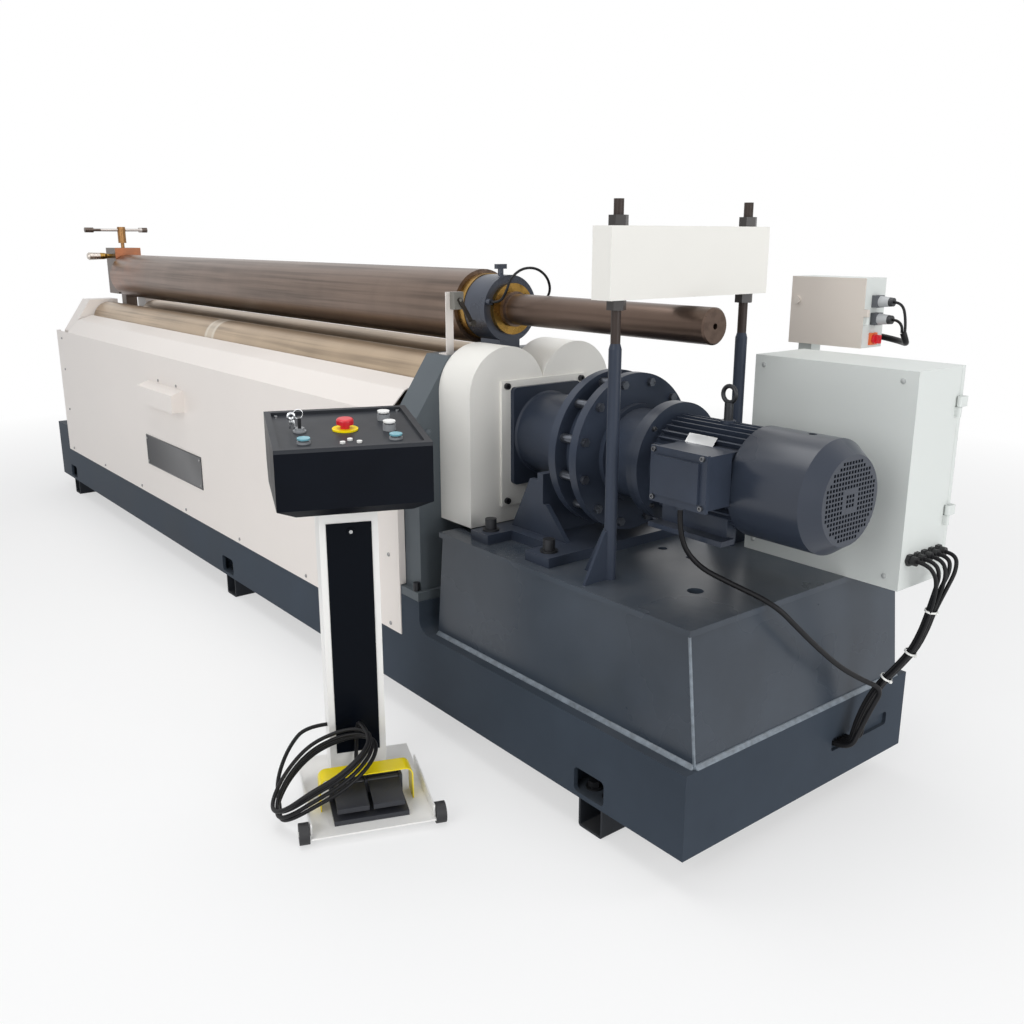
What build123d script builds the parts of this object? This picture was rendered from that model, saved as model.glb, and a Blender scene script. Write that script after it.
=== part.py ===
"""Three-roll plate rolling machine with a gear drive, a drop end and a foot-operated control pedestal.

Millimetres, +Z up. The floor is Z = 0, the rolls run along X, and the top roll's axis lies over Y = 0.
"""
import math
import os

from build123d import *

os.makedirs("parts", exist_ok=True)

# Bed and skids
bed_length = 4590.0
bed_right = 2335.0
bed_front = -338.0
bed_width = 820.0
bed_height = 287.0
drive_bed_height = 200.0
bed_wall = 12.0
step_gap = 4.0
step_fillet = 40.0
skid_height = 80.0
skid_wall = 6.0
skid_corner = 8.0
left_skid_inset = 210.0
right_skid_inset = 290.0
skid_inset = 8.0
skid_bay = 160.0
bays_between_skids = 5
window_length = 100.0
window_height = 62.0
window_corner = 12.0
cable_slot_width = 231.0
cable_slot_height = 35.0
cable_slot_depth = 9.0
cable_slot_y = 292.0
cable_slot_rise = 97.0

# Drive riser
riser_setback = 42.0
riser_end_gap = 10.0
riser_end_slope = 30.0
riser_inset = 35.0
riser_height = 300.0
riser_wall = 10.0
riser_plate = 14.0
riser_overhang = 7.0
lifting_hole = 19.0
lifting_hole_inset = 177.0
lifting_hole_y = -121.0
drain_hole = 12.0
drain_hole_inset = 347.0
drain_hole_pitch = 94.0
drain_hole_y = 54.0
cable_hole = 9.0
cable_hole_inset = 604.0
cable_hole_y = -248.0

# Rolls
lower_roll_z = 941.0
roll_spread = 120.0
top_roll_rise = 211.0
lower_radius = 82.0
lower_journal = 45.0
lower_barrel_gap = 10.0
barrel_right = 1205.0
top_radius = 105.0
top_barrel_gap = 25.0
top_journal = 48.0
tail_radius = 42.0
spigot_radius = 36.0
spigot_length = 120.0
spigot_gap = 0.1
tail_end = 2064.0
cone_large = 52.0
cone_small = 36.0
cone_length = 95.0
running_gap = 0.05
loose_gap = 0.35

# Stands
right_stand_left = 1225.0
right_stand_width = 105.0
left_stand_inset = 255.0
left_stand_width = 120.0
stand_half = 318.0
stand_shoulder_z = 880.0
stand_top_half = 212.0
stand_top_z = 1035.0
stand_foot_thickness = 25.0
stand_foot_overhang = 13.0
stand_foot_reach = 19.0
stand_bolt_radius = 9.0
stand_bolt_height = 24.0
stand_bolt_inset = 10.0
slot_half = 50.0
neck_half = 35.0
slot_floor_z = 700.0
bush_wall = 7.0
screw_radius = 22.0
screw_bore_floor = 404.0
guide_gap = 0.3
head_cut_half = 72.0
head_cut_floor = 985.0
saddle_drop = 55.0
saddle_gap = 5.0

# Sheet covers
sheet = 3.0
cover_inset = 188.0
cover_right = 1255.0
cover_bottom = 244.0
cover_bend_z = 877.0
cover_bend = 60.0
cover_lip_y = 213.0
cover_lip_rise = 22.0
cover_lip_gap = 12.0
cover_flange = 18.0
hood_left = -705.0
hood_length = 390.0
hood_bottom = 675.0
hood_front_height = 70.0
hood_back_height = 87.0
hood_depth = 50.0

# Gears
gear_module = 6.0
gear_teeth = 36
pinion_teeth = 19
pressure_angle = 20.0
tooth_backlash = 0.5
gear_width = 80.0
gear_left = 1350.0
gear_seat = 40.0
pinion_shaft = 35.0
pinion_shaft_reach = 170.0

# Gear cover
gear_cover_radius = 126.0
gear_cover_width = 140.0
gear_cover_bottom = 592.0
gear_cover_hole = 100.0
cover_pad = 8.0
cover_pad_half = 147.0
cover_pad_top = 150.0
cover_pad_drop = 190.0

# Reducer
flange_half_width = 117.0
flange_half_height = 132.0
flange_corner = 12.0
flange_thickness = 14.0
nose_radius = 110.0
nose_lip = 5.0
disc_radius = 197.0
disc_left = 1727.0
disc_thickness = 25.0
ring_radius = 160.0
ring_length = 50.0
bolt_circle = 177.0
bolt_count = 12
bolt_radius = 7.0
spacer_radius = 11.0
bolt_head_flats = 19.0
bolt_head_height = 10.0
drum_lip_radius = 122.0
drum_lip_length = 14.0
drum_radius = 112.0
motor_flange_radius = 143.0
adaptor_flange_left = 1941.0
motor_flange_left = 1958.0
motor_flange_thickness = 17.0

# Reducer foot
foot_left = 1514.0
foot_right = 1827.0
foot_half_width = 278.0
foot_thickness = 25.0
foot_notch_left = 1586.0
foot_notch_right = 1738.0
foot_notch_depth = 78.0
saddle_left = 1648.0
saddle_thickness = 22.0
saddle_half_width = 165.0
saddle_top_drop = 62.0
gusset_thickness = 14.0
gusset_reach = 104.0
gusset_small_reach = 92.0

# Motor
frame_radius = 102.0
fin_tip_radius = 117.0
fin_count = 40
fin_thickness = 3.2
frame_right = 2237.0
motor_foot_drop = 132.0
motor_foot_half = 96.0
motor_foot_thickness = 12.0
fan_shaft = 16.0
cowl_left = 2222.0
cowl_radius = 123.0
cowl_right = 2438.0
cowl_chamfer_left = 2400.0
cowl_face_radius = 96.0
cowl_wall = 2.6
cowl_fin_gap = 0.3
grille_hole = 6.4
grille_pitch = 10.0
grille_reach = 86.0
grille_border = 2
cowl_port_radius = 9.0
fan_radius = 102.0
fan_hub_radius = 30.0
fan_left = 2268.0
fan_width = 44.0
fan_blades = 7
fan_blade_thickness = 3.0
box_left = 2082.0
box_length = 150.0
box_height = 115.0
box_face_y = -213.0
box_lid_depth = 9.0
box_panel_depth = 7.0
box_pad_depth = 16.0
box_inner_y = -124.0
box_gland_radius = 11.0
box_gland_length = 22.0
eye_x = 2115.0
eye_ring_radius = 18.0
eye_wire_radius = 5.0
eye_stem_radius = 10.0
eye_stem_height = 40.0

# Tie posts and beam
post_x = 1967.0
post_y = 213.0
sleeve_radius = 14.5
sleeve_top = 1120.0
sleeve_taper = 12.0
stud_radius = 11.0
stud_top = 1423.0
post_gusset_height = 118.0
post_gusset_reach = 66.0
post_gusset_thickness = 8.0
beam_bottom = 1214.0
beam_height = 154.0
beam_thickness = 58.0
beam_half_length = 260.0
beam_nut_flats = 38.0
beam_nut_height = 22.0
stud_gap = 0.08

# Right lift
housing_left = 1235.0
housing_right = 1329.0
housing_radius = 92.0
housing_bore = 58.0
neck_bottom = 770.0
bush_flange_radius = 70.0
bush_flange = 14.0
thrust_radius = 94.0
thrust_gap = 0.6
screw_length = 300.0
tee_x = 1285.0
tee_stem_radius = 8.0
tee_stem_height = 18.0
tee_head_length = 34.0
tee_head_size = 13.0
fitting_radius = 8.0
fitting_length = 16.0
fitting_y = 80.0
fitting_rise = 22.0

# Left lift and drop arm
pin_inset = 90.0
pin_z = 852.0
pin_radius = 14.0
ear_radius = 36.0
ear_inner = 29.0
lift_block_bottom = 760.0
lift_block_top = 804.0
arm_neck_half = 28.0
arm_neck_radius = 34.0
arm_overhang = 15.0
arm_half = 65.0
arm_head_bottom = 1060.0
arm_top = 1291.0
arm_bush_wall = 6.0
clamp_hole_depth = 36.0
clamp_stem_radius = 9.0
clamp_boss_radius = 20.0
clamp_boss_bottom = 1315.0
clamp_boss_top = 1396.0
tee_bar_radius = 7.0
tee_bar_z = 1380.0
tee_bar_front = -183.0
tee_bar_rear = 132.0
tee_grip_radius = 12.5
tee_grip_length = 42.0
lock_z = 1250.0
lock_radius = 11.0
lock_depth = 34.0
lock_shank_length = 22.0
lock_grip_radius = 19.0
lock_grip_length = 96.0

# Lift drive
worm_box_length = 96.0
worm_box_half = 58.0
worm_box_bottom = 470.0
worm_box_top = 600.0
cross_tube_radius = 30.0
cross_tube_z = 535.0
lift_case_left = -60.0
lift_case_right = 90.0
lift_case_rear = 255.0
lift_motor_radius = 82.0
lift_motor_y = 165.0
lift_motor_z = 480.0
lift_motor_length = 320.0

# Limit switch
limit_x = 1300.0
limit_y = -188.0
limit_width = 24.0
limit_foot = 34.0
limit_height = 168.0
limit_body_width = 30.0
limit_body_height = 46.0
limit_body_depth = 22.0
lever_pivot_y = -172.0
lever_pivot_z = 1182.0
lever_pin_radius = 4.0
lever_length = 74.0
lever_width = 12.0
lever_thickness = 5.0
lever_angle = -58.0
roller_radius = 9.0

# Enclosure
enclosure_left = 2004.0
enclosure_width = 428.0
enclosure_inset = 30.0
enclosure_depth = 190.0
enclosure_height = 490.0
enclosure_wall = 2.0
enclosure_lip = 16.0
door_depth = 14.0
door_gap = 0.6
door_hinge_radius = 6.0
door_hinge_length = 46.0
plate_gap = 14.0
plate_margin = 30.0
plate_thickness = 3.0
gland_count = 5
gland_inset = 31.0
gland_pitch = 30.0
gland_z = 649.0
gland_radius = 10.5
gland_nut_flats = 25.0
gland_length = 22.0

# Switch cabinet
cabinet_left = 1896.0
cabinet_width = 217.0
cabinet_gap = 20.0
cabinet_depth = 87.0
cabinet_bottom = 1074.0
cabinet_height = 172.0
cabinet_wall = 2.0
cabinet_door_thickness = 3.0
cabinet_hinge_radius = 5.0
cabinet_post = 40.0
cabinet_post_x = 1930.0
cabinet_post_gap = 43.0
cabinet_post_bottom = 120.0
connector_drop = 57.0
connector_pitch = 43.0
connector_size = 30.0
connector_depth = 16.0
plug_length = 36.0
plug_radius = 10.5
isolator_rise = 22.0
isolator_plate = 30.0
isolator_plate_depth = 6.0
isolator_radius = 11.5
isolator_depth = 18.0
isolator_spindle = 5.0

# Control pedestal
pedestal_x = 1519.0
pedestal_y = -640.0
pedestal_heading = -21.9
column_width = 140.0
column_depth = 100.0
base_plate_z = 18.0
base_plate_thickness = 4.0
base_front = 250.0
base_rear = -130.0
base_half = 145.0
base_flange_height = 34.0
base_flange = 4.0
rear_foot_radius = 18.0
panel_width = 108.0
panel_bottom = 92.0
panel_top = 690.0
panel_thickness = 2.0
panel_lock_radius = 9.0
console_half = 172.5
console_front = 169.0
console_rear = -167.0
console_front_top = 908.0
console_rear_top = 937.0
console_front_bottom = 772.0
console_bottom = 752.0
console_bottom_front = 145.0
console_bottom_rear = -118.0
console_rear_bottom = 824.0
console_rim = 15.0
console_recess = 8.0
console_wall = 4.0
console_taper = 42.0
column_wall = 3.0
button_radius = 11.0
bezel_radius = 15.0
bezel_height = 4.0
button_height = 13.0
tall_button_height = 23.0
cap_radius = 14.5
cap_thickness = 3.6
press_room = 4.4
key_collar = 6.0
key_grip_width = 18.0
key_grip_thickness = 7.0
key_grip_height = 24.0
button_hole = 16.0
button_depth = 8.0
stop_ring_radius = 30.0
stop_ring_height = 4.0
stop_head_radius = 20.0
stop_head_height = 14.0
stop_neck_height = 10.0
lamp_radius = 6.0
lamp_height = 5.0
pedal_rear = 100.0
pedal_front = 214.0
pedal_half = 88.0
pedal_base_thickness = 12.0
pedal_wall_height = 46.0
pedal_divider = 7.0
pedal_pin_radius = 3.0
pedal_pin_x = 116.0
pedal_pin_rise = 38.0
pedal_reach = 94.0
pedal_thickness = 7.0
pedal_slope = 9.0
pedal_lip = 10.0
pedal_side_gap = 1.5
guard_rear = 92.0
guard_front = 145.0
guard_half = 112.0
guard_top = 106.0
guard_corner = 20.0
guard_sheet = 2.5
wheel_x = 227.0
wheel_radius = 25.0
wheel_width = 24.0
wheel_gap = 2.0
axle_radius = 6.0

# Cords
motor_cord_radius = 6.0
cabinet_cord_radius = 4.6
cabinet_cord_step = 5.0
cabinet_cord_stagger = 9.0
plug_cord_radius = 3.4
sleeve_cord_radius = 8.0
hose_radius = 3.6
pedal_cord_radius = 4.9
coil_turns = 4
coil_corners = 12
coil_rise = 15.0

# Levels and lines that follow from the sizes above
bed_left = bed_right - bed_length
bed_rear = bed_front + bed_width
bed_middle = (bed_front + bed_rear) / 2
roll_bed_top = skid_height + bed_height
drive_bed_top = skid_height + drive_bed_height
first_skid = bed_left + left_skid_inset
last_skid = bed_right - right_skid_inset
skid_positions = (first_skid, (first_skid + last_skid) / 2, last_skid)
right_stand_right = right_stand_left + right_stand_width
left_stand_left = bed_left + left_stand_inset
left_stand_right = left_stand_left + left_stand_width
lower_barrel_left = left_stand_right + lower_barrel_gap
top_barrel_left = left_stand_right + top_barrel_gap
cover_left = bed_left + cover_inset
pin_x = left_stand_left + pin_inset
arm_left = left_stand_left - arm_overhang
arm_right = left_stand_right + arm_overhang
step_x = right_stand_right + stand_foot_overhang + step_gap
riser_left = step_x + riser_setback
riser_right = bed_right - riser_end_gap
riser_top = drive_bed_top + riser_height
riser_front = bed_front + riser_inset
riser_rear = bed_rear - riser_inset
top_roll_z = lower_roll_z + top_roll_rise
bush_outer = lower_journal + bush_wall
gear_pitch_radius = gear_module * gear_teeth / 2
pinion_pitch_radius = gear_module * pinion_teeth / 2
gear_centres = gear_pitch_radius + pinion_pitch_radius
drive_z = lower_roll_z - math.sqrt(gear_centres ** 2 - roll_spread ** 2)
stand_foot_top = roll_bed_top + stand_foot_thickness
gear_cover_right = right_stand_right + gear_cover_width
flange_left = gear_cover_right + cover_pad
pinion_shaft_end = flange_left + pinion_shaft_reach
nose_left = flange_left + flange_thickness
ring_left = disc_left + disc_thickness
end_disc_left = ring_left + ring_length
end_disc_right = end_disc_left + disc_thickness
frame_left = motor_flange_left + motor_flange_thickness
box_bottom = drive_z - box_height / 2 + 24
enclosure_right = enclosure_left + enclosure_width
enclosure_rear = riser_rear - enclosure_inset
enclosure_front = enclosure_rear - enclosure_depth
gland_first_y = enclosure_front + gland_inset
cabinet_front = bed_rear + cabinet_gap
cabinet_post_y = bed_rear + cabinet_post_gap + cabinet_post / 2
enclosure_top = riser_top + enclosure_height
cabinet_right = cabinet_left + cabinet_width
cabinet_top = cabinet_bottom + cabinet_height
connector_z = cabinet_top - connector_drop
isolator_z = cabinet_bottom + isolator_rise
cabinet_rear = cabinet_front + cabinet_depth
base_top = base_plate_z + base_plate_thickness
console_slope = math.atan2(console_rear_top - console_front_top, console_front - console_rear)
heading = math.radians(pedestal_heading)
pedestal = Plane(
    origin=(pedestal_x, pedestal_y, 0),
    x_dir=(math.cos(heading), math.sin(heading), 0),
    z_dir=(0, 0, 1),
)


def facing_x(x, y=0.0, z=0.0):
    """Sketch plane that faces +X: its first axis is Y and its second is Z."""
    return Plane(origin=(x, y, z), x_dir=(0, 1, 0), z_dir=(1, 0, 0))


def facing_front(y):
    """Sketch plane that faces -Y: its first axis is X and its second is Z."""
    return Plane(origin=(0, y, 0), x_dir=(1, 0, 0), z_dir=(0, -1, 0))


def block(x, y, z, mode=Mode.ADD):
    """Add or cut a box between two limits along each axis."""
    with Locations(((x[0] + x[1]) / 2, (y[0] + y[1]) / 2, (z[0] + z[1]) / 2)):
        Box(x[1] - x[0], y[1] - y[0], z[1] - z[0], mode=mode)


def upright(x, y, bottom, top, radius, mode=Mode.ADD):
    """Add or cut a vertical cylinder."""
    with Locations((x, y, (bottom + top) / 2)):
        Cylinder(radius, top - bottom, mode=mode)


def along_x(left, right, y, z, radius, mode=Mode.ADD):
    """Add or cut a cylinder that lies along X."""
    with Locations(Location(((left + right) / 2, y, z), (0, 90, 0))):
        Cylinder(radius, right - left, mode=mode)


def along_y(front, rear, x, z, radius, mode=Mode.ADD):
    """Add or cut a cylinder that lies along Y."""
    with Locations(Location((x, (front + rear) / 2, z), (90, 0, 0))):
        Cylinder(radius, rear - front, mode=mode)


def turned(profile, y, z, mode=Mode.ADD):
    """Turn a closed profile of (x, radius) points about a line along X."""
    with BuildSketch(Plane(origin=(0, y, z), x_dir=(1, 0, 0), z_dir=(0, -1, 0))) as section:
        Polygon(*profile, align=None)
    revolve(section.sketch, axis=Axis((0, y, z), (1, 0, 0)), mode=mode)


def profile_along_x(points, left, right, mode=Mode.ADD):
    """Run a closed outline of (y, z) points from one X to another."""
    with BuildSketch(facing_x(left)) as section:
        Polygon(*points, align=None)
    extrude(section.sketch, amount=right - left, mode=mode)


def profile_along_y(points, front, rear, mode=Mode.ADD):
    """Run a closed outline of (x, z) points from one Y to another."""
    with BuildSketch(facing_front(rear)) as section:
        Polygon(*points, align=None)
    extrude(section.sketch, amount=rear - front, mode=mode)


def hexagon(plane, flats, height):
    """Add a hexagonal nut or bolt head that stands on a plane."""
    with BuildSketch(plane) as section:
        RegularPolygon(flats / 2, 6, major_radius=False)
    extrude(section.sketch, amount=height)


def sheet_outline(points, thickness):
    """Close an open line of bends into a strip of even thickness on its right side."""
    normals = []
    for start, end in zip(points, points[1:]):
        run = math.dist(start, end)
        normals.append(((end[1] - start[1]) / run, (start[0] - end[0]) / run))
    inner = []
    for index, point in enumerate(points):
        before = normals[max(index - 1, 0)]
        after = normals[min(index, len(normals) - 1)]
        reach = thickness / (1 + before[0] * after[0] + before[1] * after[1])
        inner.append((point[0] + reach * (before[0] + after[0]), point[1] + reach * (before[1] + after[1])))
    return list(points) + inner[::-1]


def involute(angle):
    """Involute function of an angle in radians."""
    return math.tan(angle) - angle


def gear_outline(teeth, phase):
    """Outline of a spur gear with involute flanks and one tooth centred at phase, in degrees."""
    pitch = gear_module * teeth / 2
    base = pitch * math.cos(math.radians(pressure_angle))
    tip = pitch + gear_module
    root = pitch - 1.25 * gear_module
    half_at_pitch = (math.pi * gear_module / 2 - tooth_backlash / 2) / 2 / pitch
    start = max(base, root) + 0.2
    flank = []
    for radius in (start, (start + tip) / 2, tip):
        turn = half_at_pitch + involute(math.radians(pressure_angle)) - involute(math.acos(base / radius))
        flank.append((radius, turn))
    flank.insert(0, (root, flank[0][1] + 0.004))
    points = []
    for tooth in range(teeth):
        centre = math.radians(phase) + 2 * math.pi * tooth / teeth
        for radius, turn in flank:
            points.append((radius * math.cos(centre - turn), radius * math.sin(centre - turn)))
        for radius, turn in reversed(flank):
            points.append((radius * math.cos(centre + turn), radius * math.sin(centre + turn)))
    return points


def add_gear(teeth, phase, y, z):
    """Add a spur gear on a line along X."""
    with BuildSketch(facing_x(gear_left, y, z)) as section:
        Polygon(*gear_outline(teeth, phase), align=None)
    extrude(section.sketch, amount=gear_width)


def bend_radii(points):
    """Radius of each bend, as large as the runs on its two sides let it be."""
    radii = []
    for before, corner, after in zip(points, points[1:], points[2:]):
        into = Vector(*corner) - Vector(*before)
        out = Vector(*after) - Vector(*corner)
        turn = math.radians(into.get_angle(out))
        radii.append(0.45 * min(into.length, out.length) / math.tan(turn / 2))
    return radii


def print_self_gap(line, radius, count=600):
    """Print the least clear gap between stretches of a cord that are not neighbours along it."""
    places = [line @ (k / count) for k in range(count + 1)]
    apart = int(8 * radius * count / line.length) + 1
    least = min(
        (places[far] - places[near]).length
        for near in range(count + 1)
        for far in range(near + apart, count + 1)
    )
    print("least gap of a cord to itself", round(least - 2 * radius, 2))


def lay_cord(points, radius, coiled=False):
    """Sweep a round cord along straight runs joined by tangent bends."""
    radii = bend_radii(points)
    print("bend radii", [round(value) for value in radii], "for a cord of radius", radius)
    with BuildLine() as path:
        FilletPolyline(*points, radius=radii)
    if coiled:
        print_self_gap(path.wires()[0], radius)
    with BuildSketch(Plane(origin=path.line @ 0, z_dir=path.line % 0)) as section:
        Circle(radius)
    sweep(section.sketch, path=path.line)


# Bed
rib_positions = [bed_left + bed_wall / 2]
bay_pitch = (skid_positions[1] - first_skid - skid_bay) / bays_between_skids
for skid_x in skid_positions:
    rib_positions += [skid_x - skid_bay / 2, skid_x + skid_bay / 2]
    if skid_x < last_skid:
        rib_positions += [skid_x + skid_bay / 2 + bay_pitch * k for k in range(1, bays_between_skids)]
rib_positions.append(bed_right - bed_wall / 2)

with BuildPart() as bed_frame:
    profile_along_y(
        [
            (bed_left, skid_height),
            (bed_right, skid_height),
            (bed_right, drive_bed_top),
            (step_x, drive_bed_top),
            (step_x, roll_bed_top),
            (bed_left, roll_bed_top),
        ],
        bed_front,
        bed_rear,
    )
    step_edge = bed_frame.edges().filter_by(Axis.Y).sort_by_distance((step_x, bed_middle, drive_bed_top))[0]
    fillet(step_edge, radius=step_fillet)
    for left, right in zip(rib_positions, rib_positions[1:]):
        at_skid = any(left < skid_x < right for skid_x in skid_positions)
        floor = skid_height + bed_wall if at_skid else skid_height - 1
        ceiling = roll_bed_top - bed_wall if right < step_x else drive_bed_top - bed_wall
        inside = (left + bed_wall / 2, right - bed_wall / 2)
        for rows in (
            (bed_front + bed_wall, bed_middle - bed_wall / 2),
            (bed_middle + bed_wall / 2, bed_rear - bed_wall),
        ):
            block(inside, rows, (floor, ceiling), mode=Mode.SUBTRACT)
            if left < step_x - 2 * bed_wall < right:
                block((inside[0], step_x - bed_wall), rows, (floor, roll_bed_top - bed_wall), mode=Mode.SUBTRACT)
    for wall_y in (bed_front + bed_wall, bed_rear):
        with BuildSketch(facing_front(wall_y)) as windows:
            with Locations(*[(skid_x, skid_height + bed_wall + window_height / 2) for skid_x in skid_positions]):
                RectangleRounded(window_length, window_height, window_corner)
        extrude(windows.sketch, amount=bed_wall, mode=Mode.SUBTRACT)
    with BuildSketch(facing_x(bed_right)) as slot:
        with Locations((cable_slot_y, skid_height + cable_slot_rise)):
            RectangleRounded(cable_slot_width, cable_slot_height, cable_slot_height / 4)
    extrude(slot.sketch, amount=-cable_slot_depth, mode=Mode.SUBTRACT)

with BuildPart() as skid_tubes:
    with BuildSketch(facing_front(bed_front + skid_inset)) as tubes:
        with Locations(*[(skid_x, skid_height / 2) for skid_x in skid_positions]):
            RectangleRounded(skid_height, skid_height, skid_corner)
            RectangleRounded(
                skid_height - 2 * skid_wall,
                skid_height - 2 * skid_wall,
                skid_corner - skid_wall + 1,
                mode=Mode.SUBTRACT,
            )
    extrude(tubes.sketch, amount=-(bed_width - 2 * skid_inset))

# Drive riser
with BuildPart() as drive_riser:
    riser_plate_bottom = riser_top - riser_plate
    riser_profile = [
        (riser_left, drive_bed_top),
        (riser_right, drive_bed_top),
        (riser_right - riser_end_slope, riser_plate_bottom),
        (riser_left + riser_end_slope, riser_plate_bottom),
    ]
    profile_along_y(riser_profile, riser_front, riser_rear)
    riser_middle_x = (riser_left + riser_right) / 2
    riser_middle_y = (riser_front + riser_rear) / 2
    bay_x = (
        (riser_left + riser_end_slope + riser_wall, riser_middle_x - riser_wall / 2),
        (riser_middle_x + riser_wall / 2, riser_right - riser_end_slope - riser_wall),
    )
    bay_y = (
        (riser_front + riser_wall, riser_middle_y - riser_wall / 2),
        (riser_middle_y + riser_wall / 2, riser_rear - riser_wall),
    )
    for inside_x in bay_x:
        for inside_y in bay_y:
            block(inside_x, inside_y, (drive_bed_top - 1, riser_plate_bottom - riser_wall), mode=Mode.SUBTRACT)
    block(
        (riser_left + riser_end_slope - riser_overhang, riser_right - riser_end_slope + riser_overhang),
        (riser_front - riser_overhang, riser_rear + riser_overhang),
        (riser_plate_bottom, riser_top),
    )
    for inset, hole_y, hole_radius in (
        (lifting_hole_inset, lifting_hole_y, lifting_hole),
        (drain_hole_inset, drain_hole_y, drain_hole),
        (drain_hole_inset + drain_hole_pitch, drain_hole_y, drain_hole),
        (cable_hole_inset, cable_hole_y, cable_hole),
    ):
        upright(riser_right - inset, hole_y, riser_plate_bottom, riser_top + 1, hole_radius, mode=Mode.SUBTRACT)


# Stands
def add_stand(left, right, slot):
    """Add a stand with its foot, its slot, the seats of two bushes and the bore of the lift screw."""
    profile_along_x(
        [
            (-stand_half, stand_foot_top),
            (stand_half, stand_foot_top),
            (stand_half, stand_shoulder_z),
            (stand_top_half, stand_top_z),
            (-stand_top_half, stand_top_z),
            (-stand_half, stand_shoulder_z),
        ],
        left,
        right,
    )
    block(
        (left - stand_foot_overhang, right + stand_foot_overhang),
        (-stand_half - stand_foot_reach, stand_half + stand_foot_reach),
        (roll_bed_top, stand_foot_top),
    )
    block((left - 1, right + 1), (-slot, slot), (slot_floor_z, stand_top_z + 1), mode=Mode.SUBTRACT)
    for y in (-roll_spread, roll_spread):
        along_x(left - 1, right + 1, y, lower_roll_z, bush_outer, mode=Mode.SUBTRACT)
    upright(
        (left + right) / 2, 0, screw_bore_floor, slot_floor_z + 1, screw_radius + running_gap, mode=Mode.SUBTRACT
    )


with BuildPart() as right_stand:
    add_stand(right_stand_left, right_stand_right, neck_half + guide_gap)
    along_x(
        right_stand_left - 1,
        right_stand_right + 1,
        0,
        top_roll_z - saddle_drop,
        housing_radius + saddle_gap,
        mode=Mode.SUBTRACT,
    )
    with Locations((right_stand_right, -stand_half + 34, stand_shoulder_z - 45)):
        Sphere(11)

with BuildPart() as left_stand:
    add_stand(left_stand_left, left_stand_right, slot_half)
    block(
        (left_stand_left - 1, left_stand_right + 1),
        (-head_cut_half, head_cut_half),
        (head_cut_floor, stand_top_z + 1),
        mode=Mode.SUBTRACT,
    )

# Bolts that can be seen, and the motor's lifting eye
with BuildPart() as fasteners:
    for skid_x in skid_positions:
        for bolt_x in (skid_x - 28, skid_x + 28):
            for bolt_y in (bed_front + bed_wall + 34, bed_rear - bed_wall - 34):
                upright(bolt_x, bolt_y, skid_height + bed_wall, skid_height + bed_wall + 4, 21)
                hexagon(Plane(origin=(bolt_x, bolt_y, skid_height + bed_wall + 4)), 27, 15)
    for column in ((right_stand_left, right_stand_right), (left_stand_left, left_stand_right)):
        bolt_reach = stand_half + stand_foot_reach / 2
        for bolt_y in (-bolt_reach, bolt_reach):
            for bolt_x in (column[0] + stand_bolt_inset, column[1] - stand_bolt_inset):
                upright(bolt_x, bolt_y, stand_foot_top, stand_foot_top + stand_bolt_height, stand_bolt_radius)
    for bolt_x in (foot_left + 36, foot_right - 44):
        for bolt_y in (-foot_half_width + 38, foot_half_width - 38):
            upright(bolt_x, bolt_y, riser_top + foot_thickness, riser_top + foot_thickness + 5, 22)
            upright(bolt_x, bolt_y, riser_top + foot_thickness + 5, riser_top + foot_thickness + 32, 15)
    eye_bottom = drive_z + fin_tip_radius + 4
    upright(eye_x, 0, eye_bottom, eye_bottom + eye_stem_height, eye_stem_radius)
    with Locations(Location((eye_x, 0, eye_bottom + eye_stem_height + eye_ring_radius), (90, 0, 0))):
        Torus(eye_ring_radius, eye_wire_radius)

# Covers
cover_plate_y = -bed_front
cover_bends = [
    (-cover_plate_y - sheet, cover_bend_z),
    (-cover_plate_y - sheet + cover_bend, cover_bend_z + cover_bend),
    (-cover_lip_y, cover_bend_z + cover_bend + cover_lip_rise),
]
lip_strip = sheet_outline(cover_bends, sheet)
lip_left = left_stand_right + cover_lip_gap
lip_right = right_stand_left - cover_lip_gap

with BuildPart() as front_cover:
    block((cover_left, cover_right), (-cover_plate_y - sheet, -cover_plate_y), (cover_bottom, cover_bend_z))
    profile_along_x(lip_strip, lip_left, lip_right)
    for flange_x in (cover_left, cover_right - sheet):
        block(
            (flange_x, flange_x + sheet),
            (-cover_plate_y, -cover_plate_y + cover_flange),
            (stand_foot_top + 2, cover_bend_z),
        )
    hood_back_y = -cover_plate_y - sheet
    profile_along_x(
        [
            (hood_back_y, hood_bottom),
            (hood_back_y, hood_bottom + hood_back_height),
            (hood_back_y - hood_depth, hood_bottom + hood_front_height),
            (hood_back_y - hood_depth, hood_bottom),
        ],
        hood_left,
        hood_left + hood_length,
    )

with BuildPart() as rear_cover:
    block((cover_left, cover_right), (cover_plate_y, cover_plate_y + sheet), (roll_bed_top, cover_bend_z))
    profile_along_x([(-y, z) for y, z in lip_strip], lip_left, lip_right)
    for flange_x in (cover_left, cover_right - sheet):
        block(
            (flange_x, flange_x + sheet),
            (cover_plate_y - cover_flange, cover_plate_y),
            (stand_foot_top + 2, cover_bend_z),
        )

# Lower rolls, their bushes and the gear train
with BuildPart() as roll_bushes:
    for left, right in ((left_stand_left, left_stand_right), (right_stand_left, right_stand_right)):
        for y in (-roll_spread, roll_spread):
            along_x(left, right, y, lower_roll_z, bush_outer)
            along_x(left - 1, right + 1, y, lower_roll_z, lower_journal + running_gap, mode=Mode.SUBTRACT)

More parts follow.
